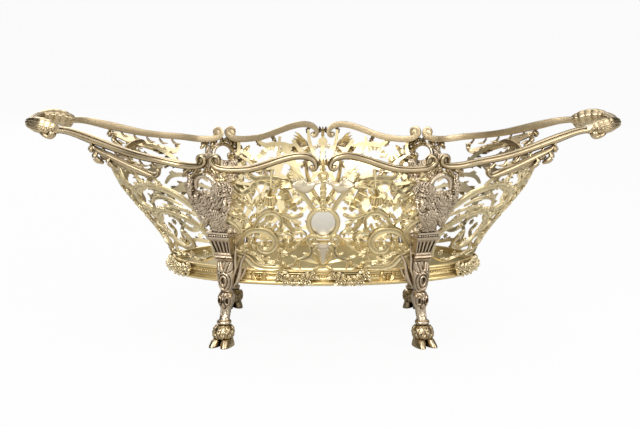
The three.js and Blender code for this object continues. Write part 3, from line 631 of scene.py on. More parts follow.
def new_object(name: str, points: np.ndarray, faces: Sequence[Sequence[int]]) -> bpy.types.Object:
    """Makes a mesh object at the origin with its faces turned out.

    Args:
        name: Its name.
        points: Its points in millimetres.
        faces: Its faces.

    Returns:
        The object.
    """
    mesh = bpy.data.meshes.new(name)
    mesh.from_pydata((points * MM).tolist(), [], list(faces))
    mesh.update()
    piece = in_scene(name, mesh)
    select_only(piece)
    bpy.ops.object.mode_set(mode="EDIT")
    bpy.ops.mesh.select_all(action="SELECT")
    bpy.ops.mesh.remove_doubles(threshold=2e-6)
    bpy.ops.mesh.normals_make_consistent(inside=False)
    bpy.ops.object.mode_set(mode="OBJECT")
    return piece


def smoothed(piece: bpy.types.Object, degrees: float = 40.0) -> bpy.types.Object:
    """Shades a piece smooth except over its sharp edges.

    Args:
        piece: The piece.
        degrees: The least angle of a sharp edge.

    Returns:
        The piece.
    """
    select_only(piece)
    bpy.ops.object.shade_smooth_by_angle(angle=math.radians(degrees))
    return piece


def melted(piece: bpy.types.Object, voxel: float, passes: int) -> bpy.types.Object:
    """Melts overlapping shells into one cast skin.

    Args:
        piece: The piece.
        voxel: Size of the remesh voxels in millimetres.
        passes: Rounds of smoothing.

    Returns:
        The piece.
    """
    select_only(piece)
    remesh = piece.modifiers.new("skin", "REMESH")
    remesh.mode = "VOXEL"
    remesh.voxel_size = voxel * MM
    bpy.ops.object.modifier_apply(modifier=remesh.name)
    relax = piece.modifiers.new("relax", "SMOOTH")
    relax.factor = 0.5
    relax.iterations = passes
    bpy.ops.object.modifier_apply(modifier=relax.name)
    bpy.ops.object.shade_smooth()
    return piece


def copy_of(piece: bpy.types.Object, name: str, side: int, end: int) -> bpy.types.Object:
    """Copies a piece into another quarter of the basket.

    Args:
        piece: The piece in the right front quarter.
        name: Name of the copy.
        side: 1, or -1 to mirror it across the middle of the length.
        end: 1, or -1 to mirror it to the back.

    Returns:
        The copy, with a mesh of its own.
    """
    mesh = piece.data.copy()
    mesh.name = name
    mesh.transform(Matrix.Diagonal((side, end, 1, 1)))
    if side * end < 0:
        mesh.flip_normals()
    return in_scene(name, mesh)


def places_of(mesh: bpy.types.Mesh) -> np.ndarray:
    """Places of a mesh's points in metres, one a row.

    Args:
        mesh: The mesh.

    Returns:
        The places.
    """
    flat = np.empty(3 * len(mesh.vertices))
    mesh.vertices.foreach_get("co", flat)
    return flat.reshape(-1, 3)


def normals_of(mesh: bpy.types.Mesh) -> np.ndarray:
    """Normals at a mesh's points, one a row.

    Args:
        mesh: The mesh.

    Returns:
        The normals.
    """
    flat = np.empty(3 * len(mesh.vertices))
    mesh.vertex_normals.foreach_get("vector", flat)
    return flat.reshape(-1, 3)


def mark(mesh: bpy.types.Mesh, name: str, values: np.ndarray) -> None:
    """Stores a value at each point of a mesh."""
    layer = mesh.attributes.get(name) or mesh.attributes.new(name, "FLOAT", "POINT")
    layer.data.foreach_set("value", values.astype(np.float32))


# Metal finishes


class Graph:
    """Adds nodes to a tree together with their links."""

    def __init__(self, tree: bpy.types.NodeTree) -> None:
        """Takes the tree."""
        self.nodes, self.links = tree.nodes, tree.links

    def fill(self, node: bpy.types.Node, inputs: dict[int | str, object]) -> bpy.types.Node:
        """Sets or links inputs of a node.

        Args:
            node: The node.
            inputs: A value or a socket for each input.

        Returns:
            The node.
        """
        for key, value in inputs.items():
            if isinstance(value, bpy.types.NodeSocket):
                self.links.new(value, node.inputs[key])
            else:
                node.inputs[key].default_value = value
        return node

    def add(self, kind: str, inputs: dict[int | str, object] | None = None, **settings: object) -> bpy.types.Node:
        """Adds a node.

        Args:
            kind: Its type without ShaderNode.
            inputs: A value or a socket for each input.
            settings: Its other properties.

        Returns:
            The node.
        """
        node = self.nodes.new(f"ShaderNode{kind}")
        for name, value in settings.items():
            setattr(node, name, value)
        return self.fill(node, inputs or {})

    def math(self, operation: str, *values: object) -> bpy.types.NodeSocket:
        """Adds a sum of one kind."""
        return self.add("Math", dict(enumerate(values)), operation=operation).outputs[0]

    def ramp(self, value: object, low: float, high: float, to_low: float, to_high: float) -> bpy.types.NodeSocket:
        """Adds a clamped map from one range to another."""
        ends = {"From Min": low, "From Max": high, "To Min": to_low, "To Max": to_high}
        return self.add("MapRange", {"Value": value, **ends}).outputs["Result"]

    def mix(self, share: object, first: object, second: object) -> bpy.types.NodeSocket:
        """Adds a mix of two colours."""
        return self.add("Mix", {0: share, 6: first, 7: second}, data_type="RGBA").outputs[2]

    def screened(self, share: object, surface: object, screen: object, output: str) -> None:
        """Ends the tree in a mix of what the room sees and what the camera sees."""
        mixed = self.add("MixShader", {"Fac": share, 1: surface, 2: screen})
        self.add(output, {"Surface": mixed.outputs[0]})


def aged_and_shaded_metal_group() -> bpy.types.NodeTree:
    """Builds the shared effect of age on gilt and silver, with painted shade laid into hollows and nooks.

    Returns:
        A shader node group that gives a colour, a roughness and a height.
    """
    group = bpy.data.node_groups.new("aged_metal", "ShaderNodeTree")
    for flow, kind, names in (
        ("INPUT", "Vector", ("Place",)), ("INPUT", "Color", ("Metal", "Tarnish", "Crevice", "Bright")),
        ("INPUT", "Float", ("Openness", "Hollow", "Dulling", "Polish", "Stipple", "Clean", "Grime")),
        ("OUTPUT", "Color", ("Color",)), ("OUTPUT", "Float", ("Roughness", "Height")),
    ):
        for name in names:
            group.interface.new_socket(name, in_out=flow, socket_type=f"NodeSocket{kind}")
    graph = Graph(group)
    given, made = graph.nodes.new("NodeGroupInput").outputs, graph.nodes.new("NodeGroupOutput")

    def noise(scale: float, detail: float) -> bpy.types.NodeSocket:
        """A noise at a scale on the piece."""
        return graph.add("TexNoise", {"Scale": scale, "Detail": detail, "Vector": given["Place"]}).outputs["Fac"]

    cloud, spots, grain = noise(55.0, 4.0), noise(420.0, 3.0), noise(1500.0, 2.0)
    patch = graph.ramp(graph.ramp(cloud, 0.4, 0.62, 0.0, 1.0), 0.0, 1.0, 0.45, 1.0)
    fleck = graph.ramp(graph.ramp(spots, 0.48, 0.66, 0.0, 1.0), 0.0, 1.0, 0.75, 1.0)
    film = graph.math("MULTIPLY", graph.math("MULTIPLY", given["Dulling"], patch), fleck)
    film = graph.math("MULTIPLY", film, graph.ramp(given["Clean"], 0.0, 1.0, 1.0, 0.25))
    metal = graph.mix(given["Clean"], given["Metal"], given["Bright"])
    toned = graph.mix(film, metal, given["Tarnish"])
    # Crevice colour goes where ambient occlusion (Openness) or a concave mesh (Hollow) finds a recess: partly tarnish
    # held in hollows, partly painted shade.
    shut = graph.ramp(given["Openness"], 0.2, 0.76, 1.0, 0.0)
    sunk = graph.ramp(given["Hollow"], 0.53, 0.7, 0.0, 0.95)
    dirt_and_shade = graph.math("MINIMUM", graph.math("ADD", graph.math("POWER", shut, 1.3), sunk), 1.0)
    dirt_and_shade = graph.math("MULTIPLY", dirt_and_shade, graph.ramp(spots, 0.3, 0.6, 0.7, 1.0))
    dirt_and_shade = graph.math("MULTIPLY", dirt_and_shade, given["Grime"])
    rough = graph.math("ADD", given["Polish"], graph.math("MULTIPLY", film, 0.16))
    rough = graph.math("ADD", rough, graph.math("MULTIPLY", dirt_and_shade, 0.22))
    pits = graph.math("MULTIPLY", grain, given["Stipple"])
    graph.fill(made, {
        "Color": graph.mix(dirt_and_shade, toned, given["Crevice"]),
        "Roughness": graph.math("ADD", rough, graph.ramp(grain, 0.3, 0.7, -0.03, 0.04)),
        "Height": graph.math("ADD", pits, graph.math("MULTIPLY", spots, 0.25)),
    })
    return group


@dataclass(frozen=True)
class Finish:
    """One finish of the metal, with its colours in linear light.

    Tarnish is the colour of the film and bright that of rubbed parts. Crevice is the colour laid into hollows and
    occluded nooks, partly tarnish held there and partly painted shade. Dulling is how much film there is, grime how
    much of the crevice colour is laid on, polish the roughness where clean, stipple the strength of the fine
    punched grain, relief the depth of the fine bump in metres, and opening the reach in metres of the occlusion
    that places the crevice colour.
    """

    slot: Slot
    metal: tuple[float, float, float]
    tarnish: tuple[float, float, float]
    dulling: float = 0.3
    grime: float = 1.0
    polish: float = 0.2
    stipple: float = 0.3
    relief: float = 0.00012
    # Colour laid into hollows and occluded nooks: partly tarnish held there, partly painted shade.
    crevice: tuple[float, float, float] = (0.075, 0.052, 0.02)
    bright: tuple[float, float, float] = (0.78, 0.70, 0.59)
    opening: float = 0.0032

    def material(self, group: bpy.types.NodeTree) -> bpy.types.Material:
        """Builds the finish as a material.

        Args:
            group: The shared effect of age, with the painted shade in hollows.

        Returns:
            The material.
        """
        material = bpy.data.materials.new(f"{self.slot.value}_finish")
        material.use_nodes = True
        graph = Graph(material.node_tree)
        # Ambient occlusion over a few millimetres finds the nooks that take painted shade in the crevice colour.
        openness = graph.add("AmbientOcclusion", {"Distance": self.opening}, samples=4)
        colours = {"Metal": self.metal, "Tarnish": self.tarnish, "Crevice": self.crevice, "Bright": self.bright}
        age = graph.add("Group", node_tree=group)
        graph.fill(age, {
            "Place": graph.add("TexCoord").outputs["Object"], "Openness": openness.outputs["AO"],
            "Hollow": graph.add("Attribute", attribute_name="hollow").outputs["Fac"],
            "Clean": graph.add("Attribute", attribute_name="clean").outputs["Fac"],
            "Dulling": self.dulling, "Grime": self.grime, "Polish": self.polish, "Stipple": self.stipple,
            **{name: (*colour, 1.0) for name, colour in colours.items()},
        })
        bump = graph.add("Bump", {"Distance": self.relief, "Height": age.outputs["Height"]})
        graph.fill(graph.nodes["Principled BSDF"], {
            "Metallic": 1.0, "Base Color": age.outputs["Color"], "Roughness": age.outputs["Roughness"],
            "Normal": bump.outputs["Normal"],
        })
        return material


FINISHES = (
    Finish(Slot.WORN, (0.65, 0.52, 0.32), (0.31, 0.23, 0.145), dulling=0.5, grime=1.15, polish=0.26),
    Finish(Slot.PANEL, (0.92, 0.78, 0.46), (0.66, 0.52, 0.31), dulling=0.36, grime=0.72, polish=0.32, stipple=0.45),
    # End panels: a darker copy of the panel gilt, painted shade for the end walls.
    Finish(Slot.END, (0.79, 0.67, 0.41), (0.52, 0.41, 0.25), dulling=0.42, polish=0.3, stipple=0.45),
    Finish(Slot.BAND, (0.92, 0.72, 0.355), (0.70, 0.52, 0.265), dulling=0.28, grime=0.8, polish=0.3),
    Finish(Slot.PLATE, (0.37, 0.31, 0.155), (0.28, 0.235, 0.13), dulling=0.5, polish=0.42, stipple=0.1),
    Finish(Slot.DULLED, (0.77, 0.64, 0.47), (0.38, 0.29, 0.21), 0.58, polish=0.24, stipple=0.9, relief=0.0002),
    Finish(Slot.BLANK, (1.0, 0.96, 0.86), (0.96, 0.90, 0.78), dulling=0.06, grime=0.5, polish=0.34, stipple=0.1),
)


class Workshop:
    """Holds the finishes and puts each finished piece into the frame."""

    def __init__(self) -> None:
        """Builds the finishes."""
        group = aged_and_shaded_metal_group()
        self.metals = {finish.slot: finish.material(group) for finish in FINISHES}

    def mark_hollows(self, mesh: bpy.types.Mesh) -> None:
        """Stores how hollow a mesh is round each point, half on a flat place and more in a groove.

        Args:
            mesh: The mesh.
        """
        count = len(mesh.vertices)
        places, normals = places_of(mesh), normals_of(mesh)
        ends = np.empty(len(mesh.edges) * 2, np.int32)
        mesh.edges.foreach_get("vertices", ends)
        first, second = ends.reshape(-1, 2).T
        way = unit(places[second] - places[first])
        total = np.bincount(first, (way * normals[first]).sum(1), count)
        total -= np.bincount(second, (way * normals[second]).sum(1), count)
        shares = np.maximum(np.bincount(first, minlength=count) + np.bincount(second, minlength=count), 1)
        level = total / shares
        spread = np.bincount(first, level[second], count) + np.bincount(second, level[first], count)
        # This hollowness lays the crevice colour: partly tarnish held in grooves, partly painted shade.
        mark(mesh, "hollow", np.clip(0.5 + 0.5 * level + 0.5 * spread / shares, 0, 1))

    def rub(
        self, piece: bpy.types.Object, amount: float, part: tuple = ((-200, 200), (0, 200))
    ) -> bpy.types.Object:
        """Marks part of a piece as rubbed clean.

        Args:
            piece: The piece.
            amount: How clean it is there, from 0 to 1.
            part: The least and greatest x, then the least and greatest z.

        Returns:
            The piece.
        """
        x, _, z = places_of(piece.data).T / MM
        (left, right), (low, high) = part
        mark(piece.data, "clean", np.where((x > left) & (x < right) & (z > low) & (z < high), amount, 0.0))
        return piece

    def dress(self, piece: bpy.types.Object, slot: Slot, node: str) -> bpy.types.Object:
        """Gives a piece its name, its metal and its place in the frame.

        Args:
            piece: The finished piece.
            slot: Its finish.
            node: The CAD node that it stands for.

        Returns:
            The piece.
        """
        piece.name = piece.data.name = f"{node}_cast"
        self.mark_hollows(piece.data)
        piece.data.materials.clear()
        piece.data.materials.append(self.metals[slot])
        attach(piece, "root")
        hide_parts(node)
        LOG.info("%s: %d faces in %s", piece.name, len(piece.data.polygons), slot.value)
        return piece

    def repeat(self, piece: bpy.types.Object, slot: Slot, nodes: dict[str, tuple[int, int]]) -> None:
        """Dresses a piece and its copies.

        Args:
            piece: The piece.
            slot: Their finish.
            nodes: For each node, the piece's own first, what turns the piece into it along X and Y.
        """
        for node, turn in nodes.items():
            twin = piece if turn == (1, 1) else copy_of(piece, f"{node}_cast", *turn)
            self.dress(twin, slot, node)

    def corners(self, piece: bpy.types.Object, part: str, slot: Slot) -> None:
        """Dresses a front right piece at all four corners."""
        self.repeat(piece, slot, {f"{corner.name.lower()}_{part}": corner.value for corner in Corner})

    def sides(self, piece: bpy.types.Object, part: str, slot: Slot) -> None:
        """Dresses a front piece at the front and the back."""
        self.repeat(piece, slot, {f"front_{part}": (1, 1), f"back_{part}": (1, -1)})

    def ends(self, piece: bpy.types.Object, part: str, slot: Slot) -> None:
        """Dresses a right piece at the right and the left."""
        self.repeat(piece, slot, {f"right_{part}": (1, 1), f"left_{part}": (-1, 1)})


# Sub-assemblies


@dataclass
class LongPanels:
    """The pierced and chased panels of the long sides, front and back."""

    thick: float = 2.6
    back_lift: float = 0.1
    strap_lift: float = 1.5
    least: float = WALL.foot + 0.3

    def build(self, shop: Workshop) -> None:
        """Makes the front panel and its copy at the back.

        Args:
            shop: Where the pieces are dressed.
        """
        flat = Relief()
        for draw in (self.scrolls, self.foliage, self.trophies, self.ribbons, self.festoons, self.foot_work,
                     self.crossed_poles, self.skull_straps):
            draw(flat)
        shop.sides(flat.whole("panel", WALL.front, self.least), "panel", Slot.PANEL)

    def scrolls(self, flat: Relief) -> None:
        """Draws the great C-scroll, its sweep along the foot and the crest over it.

        Args:
            flat: The drawing that takes them.
        """
        flat.strokes(
            even(self.thick), self.back_lift,
            ([(59, 61.5), (54.6, 66.6), (50.3, 74), (45.6, 78), (40, 79), (34.2, 77.5), (30.5, 73), (30.8, 67),
              (34.2, 63.5), (38.8, 63.8), (40.6, 67), (38.6, 69)], belly(2.2, 1.15, 0.7), REEDED),
            ([(61, 62), (53, 60), (48.5, 57.8), (44, 52.9), (38.8, 51), (32, 51), (26.4, 51.6)],
             belly(2.4, 0.9, 0.7), REEDED),
            ([(44.6, 79.4), (42, 83), (39, 88.5), (34.5, 91.8), (29.9, 91.8), (26, 87.8), (26.6, 80)],
             belly(1.9, 0.8, 1.0), REEDED),
            ([(28.4, 77), (25.6, 77.6), (22.2, 77.2), (19.6, 75), (19.4, 72.4), (21.6, 70.8), (23.8, 72),
              (23.4, 73.8)], comma(1.3, 0.8), REEDED),
        )
        flat.ball((38.6, 68.4, 1.6), 1.7, 5, 8)

    def foliage(self, flat: Relief) -> None:
        """Draws the acanthus that grows from the scrolls and fills the ground.

        Args:
            flat: The drawing that takes them.
        """
        flat.strokes(even(1.7), self.back_lift, *((line, belly(1.0, 0.55), RIDGED) for line in (
            [(63, 96.5), (53, 97), (47, 96), (41, 96.8), (36.5, 97.5)],
            [(66, 91), (61, 88.6), (52, 87), (47, 84.4), (44.6, 80.6)],
            [(60, 84), (55.5, 81), (52.6, 78.4), (51, 74)],
            [(52, 61.4), (45.6, 60.6), (41, 57.6), (37, 55.6), (30.8, 54.9)],
            [(44, 77), (42.6, 73), (44.4, 68.6), (48, 66.6)],
            [(60, 106.6), (54, 103), (50, 99), (48, 96.4)],
            [(36.4, 60), (38, 57.6), (42, 56.2)],
        )))
        flat.leaves((
            ((63, 97.4), (54, 100.6), 4.4, 0.2), ((58.6, 97), (50.6, 92.6), 4.2, -0.2),
            ((53, 97), (46, 100.4), 4, 0.2), ((49.4, 96.4), (43.4, 92.4), 3.8, -0.2),
            ((44, 96.4), (39.4, 100.4), 3.6, 0.2), ((41.6, 96.8), (36, 94.6), 3.4, -0.1),
            ((63, 89.4), (56.6, 93.6), 4.6, 0.2), ((60, 88.4), (54.6, 83.8), 4.2, -0.2),
            ((55, 87.4), (48.6, 90.6), 4.6, 0.2), ((51, 86.6), (46.2, 86.9), 3.6, 0),
            ((51.4, 84.6), (50, 79.6), 3.4, -0.2), ((60, 83.6), (56.6, 77.6), 4.2, -0.2),
            ((56.6, 81.4), (53.2, 74.4), 3.6, -0.1), ((57.4, 76.4), (61, 69.6), 4.2, 0.2),
            ((55.6, 73.4), (57.6, 66), 3.8, 0.2), ((52.4, 61.4), (46, 64.6), 3.8, 0.2),
            ((47.6, 60.6), (41.8, 60.8), 3.4, 0), ((43.4, 59), (37.6, 59.4), 3.2, 0.1),
            ((40.4, 57.2), (33.6, 58.8), 3.2, 0.1), ((42.4, 57.6), (37, 53.4), 3, -0.1),
            ((36.6, 55.4), (30.4, 52.9), 3, -0.1), ((43.4, 74.6), (38.6, 73.4), 3.4, 0),
            ((44, 71.2), (47.8, 74.2), 3.2, 0), ((45.6, 68), (43.4, 63.8), 3, -0.1),
            ((47, 67), (51.6, 66), 3.2, 0), ((38.4, 71.2), (34.6, 72.8), 3, 0.1),
            ((49.8, 64.4), (54, 63.2), 3, 0), ((39.6, 81.4), (36.6, 86), 3.6, 0.15),
            ((36.4, 80.4), (33, 84.6), 3.4, 0.15), ((32.2, 79), (29.8, 84), 3.2, 0.15),
            ((34.6, 90.4), (36.4, 84.6), 3.2, -0.2), ((42, 84.6), (38.6, 80.8), 2.8, 0),
            ((30.4, 90.4), (32, 86), 2.8, 0.1), ((57.6, 104.6), (55.4, 99.6), 3.4, 0.1),
            ((53.4, 102.4), (47, 102.4), 3.2, 0), ((60.6, 107), (54.4, 110), 3.6, 0.1),
            ((62, 62), (60.6, 55.4), 3.8, 0), ((57.6, 60.6), (54.4, 55.4), 3.6, 0),
            ((53, 59.2), (49.4, 53.6), 3.4, 0), ((48, 56.8), (45.4, 50.9), 3, 0),
            ((63, 72), (60.4, 62.8), 3.6, 0.1), ((61.4, 80), (64.6, 73), 3.6, 0.1),
        ), 3, 0.6, 1.25)
        flat.leaves((
            ((63, 86.6), (50.6, 76.4), 6.6, -0.2), ((66, 97), (56.6, 89.4), 5.6, -0.2),
            ((67, 108), (57, 104.4), 5.2, 0.2), ((66, 112), (58, 113.4), 4.6, 0.15),
            ((64.6, 78), (56.4, 69.4), 5.4, -0.15),
        ), 4, 1.4, 2.1)
        for centre, radius in (
            ((45.4, 70.6), 2.3), ((58.6, 92.6), 2.2), ((50.2, 83.2), 1.9), ((36.2, 57.4), 1.7),
            ((47.4, 62.4), 1.6), ((41.8, 89.6), 2.0), ((63.8, 84.6), 2.1), ((34.8, 68.2), 1.8),
            ((59.6, 100.6), 2.0),
        ):
            flat.flower(centre, radius, 5, 0.8, 1.7, centre[0])

    def trophies(self, flat: Relief) -> None:
        """Draws the vessel, the quiver and the pipe that hang beside the medallion.

        Args:
            flat: The drawing that takes them.
        """
        flat.stroke(
            [(31.6, 108), (32.4, 105.4), (32.8, 101), (32.4, 97), (31.6, 93.6), (31, 91)],
            lambda t: 1.0 + 3.4 * np.exp(-(((t - 0.52) / 0.24) ** 2)) + 0.7 * (t < 0.08), belly(3.4, 1.8),
            FLUTED, 0.2, density=2,
        )
        flat.stroke([(35.6, 104.6), (38.6, 103.6), (38.4, 99.6), (35, 97.6)], even(0.7), even(1.6), lift=0.3)
        for z in (103.6, 97.4):
            flat.stroke([(29.4, z), (32.4, z - 0.7), (35.6, z)], even(0.45), even(3.1), lift=0.6)
        flat.stroke(
            [(28.6, 113), (24.4, 107.4), (21.6, 102), (19, 96.4), (17, 93.2)], fading(2.5, 1.6), even(2.4),
            FLUTED, 0.1,
        )
        for t in (0.16, 0.4, 0.64, 0.88):
            x, z = 28 - 10.4 * t, 112 - 18 * t
            flat.stroke([(x - 2.2, z + 1.2), (x + 2.3, z - 1.0)], even(0.55), even(3.0), lift=0.2)
        flat.stroke(
            [(28.2, 91.8), (24, 89.8), (19.5, 88), (15.4, 88.8), (12.6, 90.4)], belly(1.5, 0.7), even(2.0),
            REEDED, 0.1,
        )
        flat.stroke([(23.4, 88), (23.2, 85), (21.4, 81.6), (19, 78.4)], fading(2.5, 1.2), even(2.2), FLUTED, 0.1)
        flat.stroke([(19.6, 86.6), (17, 84.4), (13.6, 84)], belly(1.3, 0.7), even(1.9), lift=0.1)
        flat.stroke([(21, 78.6), (17, 77), (13.6, 77.4), (10.4, 75.4)], belly(1.2, 0.6), even(1.8), lift=0.1)
        flat.leaves((
            ((25.6, 91.4), (22, 96), 3.6, 0.1), ((18.4, 79.6), (13.4, 81), 3.0, 0),
            ((26.8, 105.6), (23.4, 101), 3.2, 0),
        ))

    def ribbons(self, flat: Relief) -> None:
        """Draws the looped ribbons that tie the trophies to the rim.

        Args:
            flat: The drawing that takes them.
        """
        for line, waves in (
            ([(22.4, 111.4), (26, 109.6), (29.5, 109), (33, 110.4), (36.5, 111.5), (40.6, 110.8), (43, 109),
              (43, 106.4), (41.3, 105.6)], 5),
            ([(42.6, 109.4), (45.4, 106.4), (49, 104.5), (52, 105.4), (54.6, 108), (58.4, 109.4), (62.6, 107.6)], 4),
        ):
            flat.stroke(line, rounded(1.5), even(1.5), STRAP, 0.4, waving(0.8, waves))
        flat.stroke(
            [(21, 113.4), (24, 113), (28, 113.9), (33, 114.2), (37.6, 114), (41, 113.5), (44.6, 115), (47.4, 118.6)],
            belly(1.7, 1.0), even(1.6), STRAP, 0.3,
        )
        flat.strokes(
            even(1.8), 0.2, ([(31.4, 108), (31.8, 113), (31, 119.6)], even(1.0), HALF_ROUND),
            ([(61, 118.6), (60.4, 113), (61.4, 107)], even(1.2), HALF_ROUND),
        )
        flat.leaves((((47.4, 118), (44.4, 112.6), 3.4), ((57.6, 110), (52.6, 113.8), 3.6)), bend=0.1)
        flat.flower((42.2, 107.8), 1.9, 5, 0.8, 1.6)
        flat.flower((30.4, 109.8), 1.8, 5, 0.8, 1.6)

    def festoons(self, flat: Relief) -> None:
        """Draws the hanging strings of flowers.

        Args:
            flat: The drawing that takes them.
        """
        hang = [(28.7, 71.5), (28.9, 65), (27.8, 58.5)]
        flat.stroke([(27.6, 81), *hang, (26.6, 50.2)], even(1.0), even(1.6))
        flat.festoon([(27.6, 79.6), *hang, (26.8, 52)], 12, 1.75, 1.2)
        flat.festoon([(62.6, 98.4), (53.6, 98.2), (45.6, 97.6), (37, 98.4)], 11, 1.35, 1.4)

    def foot_work(self, flat: Relief) -> None:
        """Draws the strapwork and pointed leaves at the foot, beside the skull.

        Args:
            flat: The drawing that takes them.
        """
        flat.strokes(
            even(1.9), 0.1, ([(19, 53.4), (22.4, 51.8), (28.6, 50.9)], belly(0.9, 0.6), RIDGED),
            ([(26.4, 50.6), (17, 50.2), (8.6, 50.3), (-0.4, 50.0)], even(0.6), RIDGED),
            ([(28.2, 63.4), (23, 62.4), (19, 65), (13.4, 69.6), (9.6, 74.4)], belly(1.0, 0.5), RIDGED),
        )
        flat.leaves((
            ((20.6, 64.6), (16.6, 66.6), 3.0), ((23.8, 62.6), (22.4, 68.4), 3.2), ((27, 63), (22, 60.6), 2.6),
            ((13.6, 69.4), (17.6, 71.4), 2.6), ((24.4, 51.6), (24.6, 55.2), 2.2),
        ), 2, 0.5, 1.2, bend=0.05)

    def skull_straps(self, flat: Relief) -> None:
        """Draws the curved and pointed straps that spread from the ox skull.

        Args:
            flat: The drawing that takes them.
        """
        flat.strokes(
            even(1.6), self.strap_lift,
            ([(8.8, 71.6), (7.0, 66.0), (8.2, 61.6), (12.4, 58.8), (16.2, 57.6)], belly(1.2, 0.6), STRAP),
            ([(0.2, 54.4), (6.4, 56.2), (11.6, 57.6), (16.4, 58.0)], belly(1.0, 0.6), RIDGED),
            ([(7.0, 63.6), (4.8, 59.4), (2.4, 56.4), (0.2, 54.6)], belly(1.0, 0.6), RIDGED),
            ([(0.4, 54.6), (3.4, 51.8), (6.4, 50.2)], belly(1.0, 0.6), RIDGED),
        )
        flat.leaves((
            ((15.8, 57.8), (20.8, 60.6), 2.6), ((16.2, 57.6), (18.2, 52.4), 2.4), ((15.6, 57.8), (14.4, 50.4), 2.4),
            ((9.2, 60.6), (12.8, 62.8), 2.0), ((2.6, 55.0), (5.8, 53.4), 1.8), ((6.4, 62.6), (3.4, 60.4), 2.0),
        ), 2, self.strap_lift, 1.2, 0.3, bend=0.06)

    def crossed_poles(self, flat: Relief) -> None:
        """Draws the poles that cross behind the medallion and the stem of husks above it.

        Args:
            flat: The drawing that takes them.
        """
        flat.stroke([(22, 117), (16, 108.6), (8.6, 98.2), (5.4, 92.6)], belly(1.5, 1.0), even(1.9), REEDED, 0.1)
        flat.strokes(
            even(1.8), 0.1,
            ([(10.6, 124.4), (9.6, 116), (6.6, 107), (1.6, 98.6), (-0.6, 95)], belly(1.3, 0.9), RIDGED),
            ([(13.4, 100.6), (20.6, 98.8), (26, 101.4), (30, 101)], belly(1.2, 0.7), RIDGED),
        )
        flat.stroke([(-0.4, 93), (-0.4, 113)], even(1.2), even(2.0), lift=0.2)
        for z in (110.6 - 2.9 * i for i in range(6)):
            flat.leaf((-0.3, z), (1.7, z - 3.4), 2.1, 0.1, 2, 1.8, 0.9, 0.3)
        flat.leaves((
            ((14.4, 107), (18.8, 103.4), 3.2), ((11, 102), (15.6, 97.4), 3.2), ((8.8, 112), (13.4, 105.6), 3.4),
            ((20, 99), (23.6, 95.4), 3.0), ((17, 110), (21.4, 107.4), 3.0), ((3.6, 103.4), (6.6, 99.4), 2.6),
            ((2.6, 100.2), (5.6, 104.8), 2.6),
        ), bend=0.08)


